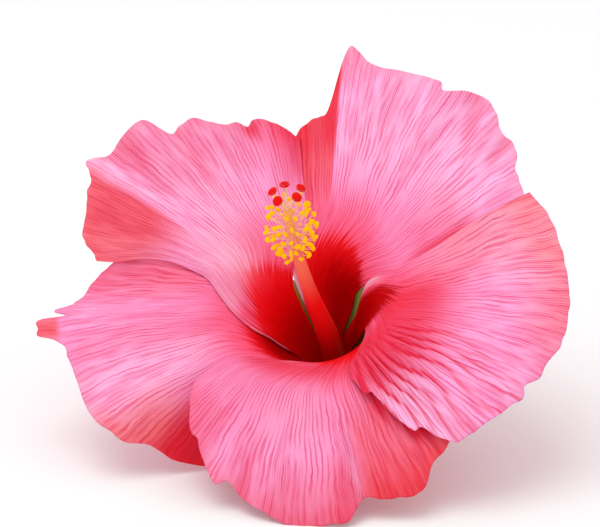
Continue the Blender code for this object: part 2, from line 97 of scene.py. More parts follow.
# A petal is its claw's two angles at the base and at its neck, where its first and last sides
# sweep out, the layer that each side lies in, how its last side bows, as (degrees, distance and
# width in millimetres), a seed, and its rim, as (place across, angle, distance in millimetres)
NECK_START, NECK_END = 0.006, 0.016
PETALS = {
    "petal_upper_right": {
        "claw": (53, 110), "neck": (45, 112), "first": (0.018, 0.036), "last": (0.022, 0.044),
        "layers": (-1, -1), "bow": (0, 50, 10), "seed": 3,
        "rim": ((-1, 2, 58), (-0.75, 14, 68.5), (-0.62, 20, 70.3), (-0.56, 23, 71.2), (-0.52, 25, 73.2),
                (-0.42, 30, 75.1), (-0.35, 33.5, 75.2), (-0.3, 36, 77.2), (-0.22, 40, 79.2),
                (-0.15, 43, 79.7), (-0.1, 45.5, 78.7), (-0.055, 48, 76.8), (-0.03, 50, 75.7), (0, 51, 77.2),
                (0.05, 53.5, 77.6), (0.2, 62, 77.4), (0.31, 67, 77), (0.38, 70, 78.2), (0.43, 72.5, 80.6),
                (0.5, 75, 81.2), (0.535, 76, 77.8), (0.575, 77.5, 70.5), (0.64, 79.5, 64.8), (0.71, 82, 64),
                (0.77, 85, 64), (0.81, 88, 63), (0.85, 90, 61.1), (1, 102, 57))},
    "petal_right": {
        "claw": (12, 50), "neck": (-18, 32), "first": (0.016, 0.038), "last": (0.0235, 0.036),
        "layers": (1, 0), "bow": (-2.5, 42, 10), "seed": 11,
        "rim": ((-1, -76, 39.2), (-0.93, -74.5, 43), (-0.86, -73, 45.6), (-0.8, -71.5, 46.2),
                (-0.74, -70, 50), (-0.67, -68, 55.2), (-0.6, -66, 59), (-0.53, -64, 59.2),
                (-0.46, -62, 63.3), (-0.38, -59.5, 66.8), (-0.28, -55, 67.7), (-0.21, -52, 68),
                (-0.12, -48, 69), (-0.04, -44, 70.1), (0.02, -41, 71.3), (0.06, -39, 70.3),
                (0.16, -34.5, 72.2), (0.2, -32.5, 72.1), (0.31, -27, 73.7), (0.5, -17, 74.1),
                (0.73, -4, 73), (0.85, 4, 72.3), (0.95, 11, 71.4), (1, 15, 70.5))},
    "petal_lower": {
        "claw": (266, 326), "neck": (266, 326), "first": (0.014, 0.04), "last": (0.014, 0.042),
        "layers": (0, 0), "bow": (-7, 27, 9), "seed": 5,
        "rim": ((-1, 212, 43.5), (-0.91, 214, 48.3), (-0.84, 216, 50.6), (-0.77, 218, 52),
                (-0.68, 222, 54.8), (-0.58, 227, 58.5), (-0.54, 229, 59), (-0.43, 234, 62.5),
                (-0.34, 239, 66.2), (-0.305, 240.5, 66.8), (-0.28, 242, 65.5), (-0.21, 246, 67.5),
                (-0.12, 251, 69.7), (-0.03, 256, 71.9), (0.05, 260, 73.2), (0.21, 268, 72.9),
                (0.285, 272.5, 72.6), (0.3, 273.5, 71.2), (0.33, 275.5, 68.8), (0.4, 280, 69.9),
                (0.49, 284, 70.9), (0.56, 288, 71.8), (0.61, 290.5, 70.5), (0.66, 293.5, 67.4),
                (0.76, 299, 65.8), (0.88, 307, 61.5), (1, 316, 57))},
    "petal_left": {
        "claw": (188, 254), "neck": (188, 254), "first": (0.006, 0.034), "last": (0.014, 0.042),
        "layers": (-1, -1), "bow": (0, 50, 10), "seed": 8,
        "rim": ((-1, 151, 58.5), (-0.93, 156.5, 63), (-0.85, 162, 68), (-0.79, 165, 70), (-0.71, 168, 70.7),
                (-0.61, 170.5, 72.4), (-0.54, 172.7, 74), (-0.5, 174, 76.5), (-0.45, 175, 76.3),
                (-0.41, 175.8, 74.2), (-0.38, 176.6, 74.1), (-0.36, 177, 76.8), (-0.31, 178.2, 80.2),
                (-0.25, 180, 80), (-0.19, 182, 79.3), (-0.172, 182.7, 76.6), (-0.15, 183.5, 75.6),
                (-0.1, 185.3, 74), (-0.03, 188, 73.6), (0.11, 194, 73.1), (0.23, 199.5, 73.4),
                (0.36, 205, 73.1), (0.46, 208.5, 71.9), (0.54, 212, 70.5), (0.61, 214.5, 66.7),
                (0.74, 219.5, 63.8), (0.79, 222, 61.2), (0.88, 227, 56), (1, 232, 51.5))},
    "petal_upper_left": {
        "claw": (111.5, 187), "neck": (117, 191), "first": (0.0215, 0.037), "last": (0.025, 0.043),
        "layers": (0, 0), "bow": (-4.2, 51.5, 11), "seed": 14,
        "rim": ((-1, 89, 60), (-0.88, 92.5, 63.2), (-0.76, 97, 67.1), (-0.67, 101, 68.4),
                (-0.63, 102.7, 67.2), (-0.58, 105, 68.8), (-0.49, 109, 68.4), (-0.42, 113, 69.5),
                (-0.36, 116, 71.9), (-0.28, 120, 72.4), (-0.18, 124, 72.2), (-0.12, 126, 78),
                (-0.07, 128.2, 79), (-0.02, 130, 79.1), (0.07, 134, 78.9), (0.14, 137.5, 78.6),
                (0.19, 139.5, 80.6), (0.25, 142, 81.6), (0.285, 143, 79.7), (0.33, 144.3, 78.2),
                (0.44, 147, 77.3), (0.54, 150, 75.7), (0.68, 154, 74.8), (0.77, 156, 74),
                (0.88, 158.3, 70.7), (1, 160, 69))},
}

# How far out the red eye reaches: angles, and the distance at each in millimetres
EYE_FADE = 0.01
EYES = {
    "petal_upper_right": (
        (36, 42, 46, 58, 70, 84, 100, 112),
        (23.5, 25.5, 29, 33, 33.6, 32.6, 29, 16.5)),
    "petal_right": (
        (-60, -47, -30, -22, -13, -2, 10, 17, 30),
        (28, 27.5, 25, 28, 30.8, 32.8, 30, 26, 21.5)),
    "petal_lower": (
        (240, 262, 270, 285, 304, 320),
        (25.8, 26.8, 30, 32, 32.2, 30.5)),
    "petal_left": (
        (170, 183, 204, 217, 230, 250),
        (29, 29.4, 30, 29.2, 26.5, 25)),
    "petal_upper_left": (
        (108, 117, 131, 146, 155, 167, 179, 192),
        (26.2, 29.1, 31.8, 34.1, 31.5, 29, 27.8, 25.5)),
}

# Staminal column
COLUMN_PATH = ((0, 0, -0.0002), (0.0007, 0, 0.004), (0.0013, 0, 0.008), (0.0009, 0, 0.016),
               (0.0001, 0, 0.024), (-0.0008, 0.0003, 0.032), (-0.0014, 0.0009, 0.04),
               (-0.0017, 0.0018, 0.048), (-0.0018, 0.0028, 0.0545), (-0.0017, 0.0035, 0.0592))
COLUMN_RADII = (0.003, 0.0029, 0.0028, 0.0026, 0.0022, 0.0018, 0.0015, 0.00125, 0.00105, 0.00085)
COLUMN_SIDES, COLUMN_RINGS = 40, 120
STAMENS = 92
STAMEN_START, STAMEN_END = 0.775, 0.96
STAMEN_RISE, STAMEN_GAIN, STAMEN_SWING = 3.0, 44.0, 9.0
FILAMENT_LENGTH = 0.0048
FILAMENT_RADIUS = 0.00011
FILAMENT_BOW, FILAMENT_SINK = 0.0005, 0.0004
ANTHER_SIZE = 0.00066
GOLDEN_ANGLE = math.radians(137.508)

# Pistil
CLEARANCE = 0.0003
SOCKET_DEPTH = 0.003
STYLE_RADIUS, STYLE_TIP = 0.0006, 0.0005
FOOT_RISE = 0.0012
BRANCH_ANGLES = (54, 145, 196, 266, 333)
BRANCH_REACHES = (0.0028, 0.0033, 0.004, 0.0032, 0.003)
BRANCH_RISE = 0.0033
BRANCH_RADIUS = 0.00026
BRANCH_SINK, BRANCH_SPREAD = 0.0005, 0.0002
STIGMA_RADIUS, STIGMA_HEIGHT = 0.00122, 0.0015
HAIRS, HAIR_RADIUS = 80, 0.00003
HAIR_LENGTHS = (0.00024, 0.00036)

# Calyx, epicalyx and pedicel
CALYX_THICKNESS = 0.0007
CALYX_HOLE = 0.0024
CALYX_FLOOR = -0.0017
CAD_PETAL, CAD_CALYX = 0.0008, 0.0009
SEPAL_SINUS, SEPAL_TIP = 0.012, 0.0245
SEPAL_AT = 44.0
CALYX_GRID = (240, 60)
# Where light falls on the calyx's inside through the slits: angle and width
LIT_PLACES = ((114.0, 9.0), (38.0, 12.0), (350.0, 14.0))
# The share of the calyx's wall that is its floor
CALYX_BASE = 0.22
RECEPTACLE_TOP = -0.0005
RECEPTACLE_RADIUS = 0.002
COLLAR_RADIUS, COLLAR_TUBE = 0.0029, 0.0006
COLLAR_HEIGHT = -0.0033
BRACTEOLES = 7
BRACTEOLE_LENGTH, BRACTEOLE_WIDTH = 0.0115, 0.0022
BRACTEOLE_THICKNESS = 0.0006
PEDICEL_RADIUS = 0.0013
PEDICEL_TURN = ((0.0012, 0.004, -0.0057), (0.003, 0.007, -0.0081), (0.0063, 0.0098, -0.009))
PEDICEL_END = (0.0235, 0.0205)
PEDICEL_FLAT = 0.00035
STALK_RINGS, STALK_SIDES = 90, 28


def flower_matrix():
    tilt = Matrix.Rotation(LEAN, 4, "Y") @ Matrix.Rotation(TILT, 4, "X")
    return Matrix.Translation(FLOWER_AT) @ tilt


TO_WORLD = np.array(flower_matrix())


def lay_down(points):
    """Turn points of the flower's own frame into the frame that the flower lies in."""
    placed = points @ TO_WORLD[:3, :3].T + TO_WORLD[:3, 3]
    placed[..., 2] = np.maximum(placed[..., 2], 0.0)
    return placed


def ease(t):
    t = np.clip(t, 0, 1)
    return t * t * (3.0 - 2.0 * t)


def between(x, start, end):
    return ease((x - start) / (end - start))


def bump(x, centre, width):
    return np.exp(-((x - centre) / width) ** 2)


def through(knots, place):
    """A smooth curve through knots of (place, values): cubics with slopes from their neighbours."""
    knots = np.array(knots, float)
    places, values = knots[:, 0], knots[:, 1:]
    slopes = np.gradient(values, places, axis=0)
    first = np.clip(np.searchsorted(places, place) - 1, 0, len(places) - 2)
    step = places[first + 1] - places[first]
    t = ((place - places[first]) / step)[..., None]
    rise = values[first + 1] - values[first]
    before, after = slopes[first] * step[..., None], slopes[first + 1] * step[..., None]
    return values[first] + t * (before + t * (3 * rise - 2 * before - after
                                              + t * (before + after - 2 * rise)))


def slope(angle, distance):
    """The corolla's angle from the flower's axis: a throat, a lip, and a rim that curls back."""
    up = np.sin(np.radians(angle))
    flare = FLARE_MEAN - FLARE_SWING * up
    curl = CURL_MEAN - CURL_SWING * up
    lip = 0.75 * between(distance, LIP_START, LIP_END) + 0.25 * np.clip(distance / LIP_END, 0, 1)
    opened = (flare - THROAT_ANGLE) * lip + curl * between(distance, CURL_START, CURL_END)
    return np.radians(THROAT_ANGLE + opened)


def corolla(angle, distance, lift):
    """Points at an angle round the axis and a distance from the claw, lifted off the corolla.

    The radius and height are the sums of the sine and cosine of the slope along the petal.
    """
    share = (np.arange(PROFILE_STEPS) + 0.5) / PROFILE_STEPS
    along = slope(angle[..., None], distance[..., None] * share)
    end = slope(angle, distance)
    radius = CLAW_RADIUS + np.sin(along).mean(-1) * distance - np.cos(end) * lift
    height = CLAW_HEIGHT + np.cos(along).mean(-1) * distance + np.sin(end) * lift
    turn = np.radians(angle)
    return np.stack([radius * np.cos(turn), radius * np.sin(turn), height], -1)


def valley(angle, low, middle, high):
    """A fold with a crisp crest at low, its bottom at middle, and an easy rise to high."""
    fall = np.clip((angle - low) / (middle - low), 0, 1)
    return fall ** 1.4 * (2.0 - fall) ** 0.6 * (1.0 - between(angle, middle, high))


def spans(angle, distance):
    """Soft steps outwards, in millimetres, and round, in degrees; soft bumps at an angle or spot.

    A step whose start is past its end falls from 1 to 0.
    """
    out, turn = partial(between, 1000.0 * distance), partial(between, angle)
    far, at = partial(bump, 1000.0 * distance), partial(bump, angle)
    return out, turn, at, lambda place, wide, reach, long: at(place, wide) * far(reach, long)


def shared_folds(angle, distance):
    """Folds and waves that neighbouring petals share."""
    turn = np.radians(angle)
    folds = -sum(depth * valley(angle, *place) for depth, *place in FOLDS)
    waves = 0.6 * np.sin(turn * WAVES) + 0.4 * np.sin(turn * WAVE_BEATS + 2.0)
    waves = waves * WAVE_HEIGHT * (0.65 + 0.35 * np.sin(turn))
    return folds * between(distance, FOLD_START, FOLD_END) \
        + waves * between(distance, WAVE_START, WAVE_END)


def streaks(across, along, cells, rows, seed):
    """Smooth random values on a lattice that is stretched along the petal, from -1 to 1."""
    chance = np.random.default_rng(seed)
    lattice = chance.uniform(-1.0, 1.0, (rows + 2, cells + 2))
    x = np.clip(across, 0.0, 0.9999) * cells
    y = np.clip(along, 0.0, 0.9999) * rows
    i, j = x.astype(int), y.astype(int)
    fx, fy = ease(x - i), ease(y - j)
    low = lattice[j, i] * (1 - fx) + lattice[j, i + 1] * fx
    high = lattice[j + 1, i] * (1 - fx) + lattice[j + 1, i + 1] * fx
    return low * (1 - fy) + high * fy


def pleats(name, angle, distance):
    """Close folds of one petal, from -1 in a groove to 1 on a ridge, and where they lie."""
    out, turn, _, _ = spans(angle, distance)
    drift = 1.3 * np.sin(distance * 260.0 + angle * 0.05) + 0.9 * np.sin(angle * 0.31)
    if name == "petal_right":
        where = turn(-26, -44) * out(31, 41)
        where = where * (1.0 - 0.55 * out(48, 64))
        fine = 0.35 * np.sin(angle * 2.7 - 1.3 * drift + distance * 420.0)
        return np.clip(np.sin(angle * 1.35 + 1.6 * drift) + fine, -1.0, 1.0), where
    if name == "petal_lower":
        where = turn(266, 284) * out(34, 50)
        return np.sin(angle * 1.75 + 0.7 * drift), 0.35 * where
    if name == "petal_left":
        where = turn(188, 172) * out(36, 46)
        return np.sin(angle * 1.6 + drift), 0.4 * where
    if name == "petal_upper_left":
        where = turn(146, 156) * out(34, 46)
        return np.sin(angle * 1.9 + 0.8 * drift), 0.35 * where
    where = turn(78, 84) * out(30, 42)
    return np.sin(angle * 1.5 + 0.5 * drift), 0.4 * where


def own_folds(name, side, angle, distance):
    """Where one petal alone bends, creases, pleats or frills."""
    out, turn, at, _ = spans(angle, distance)
    ridge, where = pleats(name, angle, distance)
    lift = PLEAT_HEIGHT * ridge * where
    if name == "petal_left":
        lift = lift - LOBE_DROP * turn(205, 239) * out(32, 66)
        tip = at(180, 4.5) * out(74.5, 80)
        return lift + 0.0016 * tip
    if name == "petal_right":
        frill = between(-side, 0.45, 1.0) * out(30, 50)
        lift = lift + 0.0013 * frill * (1.0 + np.sin(angle * 0.6))
        lobe = bump(side, 0.0, 0.07) * out(58, 68)
        return lift + 0.0006 * lobe
    if name == "petal_lower":
        step = turn(272.5, 276) * out(36, 70)
        crease = at(246, 2.2) * out(48, 62)
        return lift - 0.0016 * step - 0.0008 * crease
    if name == "petal_upper_right":
        crease = at(43.0 - 500.0 * (0.078 - distance), 2.4) * out(52, 72)
        lower = at(31.0 - 300.0 * (0.075 - distance), 1.8) * out(56, 72)
        return lift - 0.0011 * crease - 0.0008 * lower
    tuck = at(102.5, 2.2) * out(58, 67)
    edge = at(143, 1.2) * out(46, 60)
    return lift - 0.0009 * tuck + 0.0004 * edge


def bowed(name, side, distance):
    """How many degrees a petal's last edge bows to the side on its way out."""
    turn, far, wide = PETALS[name].get("bow", (0.0, 1.0, 1.0))
    return turn * between(side, 0.3, 1.0) * bump(1000.0 * distance, far, wide)


def edge_droop(name, side):
    """How far a petal's edge bends down on to the neighbour that it lies over."""
    first, last = DROOPS.get(name, (0.0, 0.0))
    return EDGE_DROOP * (first * between(-side, 0.86, 1.0) + last * between(side, 0.86, 1.0))


def rim_distance(name, side):
    """Distance of the rim from the claw, with a little unevenness."""
    small = streaks((side + 1.0) / 2.0, np.full_like(side, 0.5), 46, 2, PETALS[name]["seed"] + 7)
    return 0.001 * through(PETALS[name]["rim"], side)[..., 1] + RIM_ROUGHNESS * small


def petal_surface(name, side, length):
    """A petal: side runs across it from -1 to 1, and length from claw to rim, from 0 to 1.

    Its angle turns from the claw's to the neck's and then the rim's as the petal sweeps out, and
    its lift off the corolla is its layer, the folds it shares, its own folds and fine unevenness.
    """
    petal = PETALS[name]
    share = (side + 1.0) / 2.0
    rim_angle = through(petal["rim"], side)[..., 0]
    distance = rim_distance(name, side) * length
    base, neck = (petal[part][0] + (petal[part][1] - petal[part][0]) * share
                  for part in ("claw", "neck"))
    claw = base + (neck - base) * between(distance, NECK_START, NECK_END)
    start = petal["first"][0] + (petal["last"][0] - petal["first"][0]) * share
    end = petal["first"][1] + (petal["last"][1] - petal["first"][1]) * share
    angle = claw + (rim_angle - claw) * between(distance, start, end) + bowed(name, side, distance)
    layer = petal["layers"][0] + (petal["layers"][1] - petal["layers"][0]) * between(side, 0.2, 0.9)
    spread = 1.0 + LAYER_SPREAD * between(distance, LAYER_END, FOLD_END)
    lift = layer * LAYER * spread * between(distance, LAYER_START, LAYER_END)
    lift = lift - edge_droop(name, side) * between(distance, 0.01, 0.02)
    lift = lift + shared_folds(angle, distance) + own_folds(name, side, angle, distance)
    rough = streaks(share, distance / 0.09, 34, 7, petal["seed"]) \
        + 0.6 * streaks(share, distance / 0.09, 70, 16, petal["seed"] + 1)
    lift = lift + FACE_ROUGHNESS * rough * between(distance, 0.016, 0.036)
    return corolla(angle, distance, lift), angle, distance


def new_piece(name, points, faces, fields=None):
    """A smooth object from points and faces, with fields as point attributes."""
    mesh = bpy.data.meshes.new(name)
    mesh.from_pydata(points.reshape(-1, 3), [], faces)
    for key, values in (fields or {}).items():
        layer = mesh.attributes.new(key, "FLOAT", "POINT")
        layer.data.foreach_set("value", np.asarray(values, dtype=np.float32).ravel())
    mesh.polygons.foreach_set("use_smooth", np.ones(len(mesh.polygons), dtype=bool))
    mesh.update()
    made = bpy.data.objects.new(name, mesh)
    bpy.context.scene.collection.objects.link(made)
    return made


def grid_object(name, points, around=False, fields=None, uv=None):
    """An object from a grid of points, rows by columns, closed around if asked."""
    rows, columns = points.shape[:2]
    index = np.arange(rows * columns).reshape(rows, columns)
    if around:
        index = np.hstack([index, index[:, :1]])
    corners = [index[:-1, :-1], index[:-1, 1:], index[1:, 1:], index[1:, :-1]]
    faces = np.stack(corners, -1).reshape(-1, 4)
    made = new_piece(name, points, faces, fields)
    if uv is not None:
        layer = made.data.uv_layers.new(name="UVMap")
        layer.data.foreach_set("uv", uv.reshape(-1, 2)[faces.ravel()].astype(np.float32).ravel())
    return made


def show(piece, node, material):
    """The piece takes its material, rides on the flower and stands for the frame's node."""
    piece.data.materials.append(material)
    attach(piece, "root")
    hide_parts(node)


def thicken(piece, thickness):
    shell = piece.modifiers.new("Thickness", "SOLIDIFY")
    shell.thickness = thickness
    shell.offset = 0.0


def painted_shade_tint(name, side, angle, distance):
    """How much painted shade a petal's colour takes: painted shade in grooves and on flanks that turn away
    from the light, and painted shadow where a neighbour shades it.
    """
    out, turn, at, spot = spans(angle, distance)
    ridge, where = pleats(name, angle, distance)
    groove = where * np.clip(-ridge, 0.0, 1.0) ** 2
    if name == "petal_upper_left":
        flank = turn(142.6, 144.5) * (1.0 - 0.55 * turn(149, 156))
        flank = flank * out(46, 62) * (1.0 - 0.35 * out(71, 78))
        right = between(-side, 0.55, 0.95) * out(42, 52)
        outer = out(50, 64) * turn(141, 134)
        shaded_spots = spot(102.5, 2.6, 66, 3) + 0.7 * spot(134, 2.6, 73, 4) + 0.5 * spot(122.5, 1.8, 58, 8)
        return 0.64 * flank + 0.72 * right + 0.28 * outer + 0.5 * shaded_spots + 0.3 * groove
    if name == "petal_upper_right":
        fold = angle - CREST
        flank = between(fold, 0.2, 1.2) * (1.0 - 0.45 * between(fold, 3.5, 7.5))
        flank = flank * (0.55 + 0.45 * out(50, 60)) * out(36, 46)
        crease = at(43.0 - 500.0 * (0.078 - distance), 2.2) * out(60, 76)
        lower = at(31.0 - 300.0 * (0.075 - distance), 1.8) * out(62, 74)
        # painted shadow along the edge of the right petal, which lies over this one
        shade = at(15, 2.2) * out(34, 40) * out(60, 50)
        low = turn(44, 20) * out(36, 44) * out(60, 50)
        near = turn(78, 88) * out(36, 44)
        tint = 0.92 * flank + 0.34 * crease + 0.3 * lower + 0.45 * shade + 0.36 * low + 0.4 * near
        return tint + 0.3 * groove
    if name == "petal_right":
        hot = out(26, 32) * out(54, 40) * turn(6, -14)
        return 0.8 * hot + groove + 0.05
    if name == "petal_lower":
        band = at(271.5, 2.6) * out(52, 62)
        crease = at(246.5, 2.2) * out(48, 60)
        right = turn(275.5, 279) * out(40, 56)
        low = out(56, 72) * turn(248, 258)
        # painted shadow where the right petal's edge lies over this one
        contact = (turn(283, 289) * out(56, 47) + turn(291, 296) * out(64, 57)) * out(36, 42)
        lip = out(28, 31) * out(39, 33)
        side_shade = turn(240, 226) * out(44, 54)
        tint = 0.3 * band + 0.3 * crease + 0.3 * right + 0.26 * low + 0.6 * contact + 0.5 * lip
        return tint + 0.36 * side_shade + 0.5 * groove + 0.2
    lobe = turn(211, 219) * out(43, 52)
    hot = turn(176, 160) * out(36, 44)
    wedge = at(186.5, 7.5 - 80.0 * (distance - 0.034)) * out(32, 40)
    tip = at(180, 4) * out(74.5, 76.5)
    tint = lobe + 0.34 * hot + 0.06 + 0.24 * wedge * out(76, 68) + 0.3 * tip
    return tint + 0.3 * groove


def painted_coral_light_tint(name, side, angle, distance):
    """How much painted salmon light a petal takes: a painted glow of light shining through it, strong where
    it turns away from the light, soft along lit rims.
    """
    out, turn, at, _ = spans(angle, distance)
    rim = between(distance / rim_distance(name, side), 0.93, 1.0)
    if name == "petal_upper_left":
        flank = turn(142.6, 144.5) * out(46, 62)
        line = at(142.6, 0.7) * out(62, 72)
        return 0.85 * flank + 0.3 * rim + 0.5 * line
    if name == "petal_upper_right":
        flank = between(angle - CREST, 0.2, 1.5) * out(38, 52)
        peak = at(74, 4) * out(70, 80)
        return 0.8 * flank + 0.15 * rim + 0.4 * peak
    if name == "petal_right":
        strip = between(side, 0.55, 0.92) * out(34, 50)
        margin = out(60, 73) * between(side, 0.0, 0.5)
        return 0.65 * strip + 0.75 * margin
    if name == "petal_lower":
        corner = turn(275, 279) * out(40, 56)
        return 0.6 * corner + 0.3 * out(56, 70) + 0.2 * rim
    lobe = turn(200, 214) * out(46, 62)
    tip = at(180, 4) * out(74.5, 76.5)
    hot = 0.35 * turn(174, 160) * out(40, 48)
    return lobe + tip + hot + 0.4 * rim * turn(190, 204)


def pale_and_painted_light_tint(name, side, angle, distance):
    """How pale a petal is: its own pale claw edges and streaks, and painted light where light shines
    through it, with painted highlights on crests, ridges, lobes and a lit edge.
    """
    out, turn, at, spot = spans(angle, distance)
    if name == "petal_left":
        return 0.3 * turn(190, 195) * turn(212, 203) * out(34, 46)
    if name == "petal_lower":
        # painted highlights along the ridge and on a lit patch
        ridge = at(275.2, 1) * out(40, 52)
        return 0.45 * ridge + 0.25 * spot(258, 12, 46, 10)
    if name == "petal_upper_left":
        # painted highlight on the lit lower edge near the claw
        edge = between(side, 0.955, 0.98) * out(13, 17) * out(32, 26)
        wedge = turn(150, 172) * out(30, 34) * out(48, 38)
        streak = spot(143, 14, 39, 8)
        # painted highlight along the crest, and painted light on a broad patch
        crest = at(140.5, 2) * out(50, 64)
        light = 0.35 * at(128, 18) * out(40, 50)
        return 0.7 * edge + 0.75 * streak + 0.4 * wedge + 0.45 * crest + light
    if name == "petal_upper_right":
        edge = between(side, 0.86, 0.97) * out(16.5, 20) * out(29, 25)
        # painted light on the broad face, and a painted highlight beside the crest
        light = out(42, 58) * turn(76, 68) * turn(12, 24)
        line = at(CREST - 1.0, 0.8) * out(44, 60)
        return edge + 0.34 * light + 0.4 * line
    edge = between(side, 0.72, 0.92) * out(21.5, 23.5) * out(31, 26)
    ridge, where = pleats(name, angle, distance)
    # painted highlights on the lobes and pleat ridges, and painted light on a broad patch
    lobes = turn(-50, -60) * out(40, 50) * 0.4 + 0.15 * where * np.clip(ridge, 0, 1)
    light = 0.35 * at(2, 14) * out(52, 62)
    return 0.85 * edge + lobes + light + 0.35 * spot(-41, 4, 69, 4)


def eye_dark_and_painted_shade_tint(name, _, angle, distance):
    """How dark a petal's red eye is: its own darker red in the throat, with painted shade there and on
    petals that turn away from the light, brighter towards its rim.
    """
    out, turn, _, _ = spans(angle, distance)
    if name == "petal_upper_right":
        return 0.85 * out(35, 20) * (1.0 - 0.8 * turn(66, 98))
    if name == "petal_right":
        low = out(30, 18) * turn(34, 8)
        return 0.72 + 0.28 * low
    if name == "petal_upper_left":
        return 0.55 * out(26, 12)
    if name == "petal_left":
        return 0.85 * out(32, 20)
    return 0.8 * out(28, 18)


# Shares of each petal's colour: painted salmon light, pale streaks with painted light, painted shade, and
# the eye's own darkness with painted shade
TINTS = {"painted_coral_light": painted_coral_light_tint, "pale": pale_and_painted_light_tint, "painted_shade": painted_shade_tint, "dark": eye_dark_and_painted_shade_tint}


def make_petal(name, material):
    """One petal's blade, with its colours' shares as fields and its veins' places as UV."""
    columns, rows = PETAL_GRID
    side, length = np.meshgrid(np.linspace(-1, 1, columns + 1), np.linspace(0, 1, rows + 1))
    points, angle, distance = petal_surface(name, side, length)
    eye_angles, eye_reaches = EYES[name]
    eye = 0.001 * np.interp(angle, eye_angles, eye_reaches)
    fields = {"distance": distance / PETAL_LENGTH, "past_eye": (distance - eye) / EYE_FADE}
    for key, tint in TINTS.items():
        fields[key] = np.clip(tint(name, side, angle, distance), 0, 1)
    uv = np.stack([(side + 1.0) / 2.0 + 0.1 * PETALS[name]["seed"], distance / PETAL_LENGTH], -1)
    petal = grid_object(name + "_blade", lay_down(points)[:, ::-1], fields={
        key: values[:, ::-1] for key, values in fields.items()}, uv=uv[:, ::-1])
    thicken(petal, PETAL_THICKNESS)
    show(petal, name, material)


def unit(vectors):
    return vectors / np.linalg.norm(vectors, axis=-1, keepdims=True)


def square_to(way, other):
    """Two unit vectors square to each way and to each other, the first square to other too."""
    side = unit(np.cross(way, other))
    return side, np.cross(way, side)


def round_angles(count):
    return np.linspace(0.0, math.tau, count, endpoint=False)


def circles(side, over, turn):
    """Points of the unit circle in each plane of side and over."""
    return np.cos(turn)[None, :, None] * side[:, None] + np.sin(turn)[None, :, None] * over[:, None]


def tube_points(line, radii, sides):
    """A ring of points round each point of a line, square to it."""
    side, over = square_to(unit(np.gradient(line, axis=0)), (0.0, 1.0, 0.0))
    ring = circles(side, over, round_angles(sides))
    return line[:, None] + ring * np.asarray(radii)[:, None, None]


def close_ends(points):
    """Pinch the first and last ring to a point, so that the tube is closed."""
    first = np.repeat(points[:1].mean(1, keepdims=True), points.shape[1], 1)
    last = np.repeat(points[-1:].mean(1, keepdims=True), points.shape[1], 1)
    return np.concatenate([first, points, last])


def weld(piece):
    """Merge the doubled points of poles and seams, and turn the faces outwards."""
    bm = bmesh.new()
    bm.from_mesh(piece.data)
    bmesh.ops.remove_doubles(bm, verts=bm.verts, dist=1e-7)
    bmesh.ops.recalc_face_normals(bm, faces=bm.faces)
    bm.to_mesh(piece.data)
    bm.free()


def column_line(share):
    """Points, directions and radii on the column's centre line, by share of its length."""
    knots = [(place, *point, radius)
             for place, (point, radius) in enumerate(zip(COLUMN_PATH, COLUMN_RADII))]
    fine = through(knots, np.linspace(0.0, len(knots) - 1.0, 181))
    steps = np.linalg.norm(np.diff(fine[:, :3], axis=0), axis=1)
    run = np.concatenate([[0.0], np.cumsum(steps)]) / steps.sum()
    values = np.stack([np.interp(share, run, fine[:, axis]) for axis in range(4)], -1)
    ahead = np.stack([np.interp(share + 0.01, run, fine[:, axis]) for axis in range(3)], -1)
    behind = np.stack([np.interp(share - 0.01, run, fine[:, axis]) for axis in range(3)], -1)
    return values[..., :3], unit(ahead - behind), values[..., 3]


def outward(direction, turn):
    """Unit vectors square to the directions, turned about them."""
    side, over = square_to(direction, (0.0, 1.0, 0.0))
    return side * np.cos(turn)[..., None] + over * np.sin(turn)[..., None]


def make_column(material):
    """A round tube along the column's line, faintly ribbed lengthwise."""
    share = np.linspace(0, 1, COLUMN_RINGS)
    line, _, radii = column_line(share)
    points = tube_points(line, radii, COLUMN_SIDES)
    turn = round_angles(COLUMN_SIDES)
    ribs = 1.0 + 0.018 * np.sin(turn * 5.0)[None, :] + 0.012 * np.sin(turn * 11.0 + share[:, None] * 5.0)
    points = line[:, None] + (points - line[:, None]) * ribs[..., None]
    points = close_ends(points)
    along = np.repeat(np.concatenate([[0.0], share, [1.0]])[:, None], COLUMN_SIDES, 1)
    column = grid_object("column_tube", lay_down(points), around=True, fields={"along": along})
    weld(column)
    show(column, "staminal_column", material)


def stamen_lines():
    """Start, end and way out of each filament, on a golden spiral up the column, and the column's way."""
    chance = np.random.default_rng(7)
    share = np.arange(STAMENS) / (STAMENS - 1)
    root, direction, radius = column_line(STAMEN_START + (STAMEN_END - STAMEN_START) * share ** 0.8)
    out = outward(direction, np.arange(STAMENS) * GOLDEN_ANGLE)
    swing = chance.uniform(-STAMEN_SWING, STAMEN_SWING, STAMENS)
    rise = np.radians(STAMEN_RISE + STAMEN_GAIN * share ** 3 + swing)
    way = out * np.cos(rise)[:, None] + direction * np.sin(rise)[:, None]
    length = FILAMENT_LENGTH * (0.42 + 0.58 * np.sin(math.pi * (0.06 + 0.6 * share)))
    length *= chance.uniform(0.8, 1.12, STAMENS)
    start = root + out * (radius - FILAMENT_SINK)[:, None]
    end = root + way * (radius + length)[:, None]
    return start, end, way, direction


def make_filaments(material):
    """Thin curved threads: each sags a little towards the column's foot."""
    start, end, way, direction = stamen_lines()
    t = np.linspace(0, 1, 7)[None, :, None]
    bow = FILAMENT_BOW * np.sin(t * math.pi) * direction[:, None]
    lines = start[:, None] * (1 - t) + end[:, None] * t - bow
    ring = circles(*square_to(way, direction), round_angles(6))
    radius = FILAMENT_RADIUS * (1.25 - 0.5 * t)
    points = lines[:, :, None] + ring[:, None] * radius[..., None]
    along = np.broadcast_to(t, points.shape[:3])
    join_repeats("filaments", points, material, "staminal_column", {"along": along})


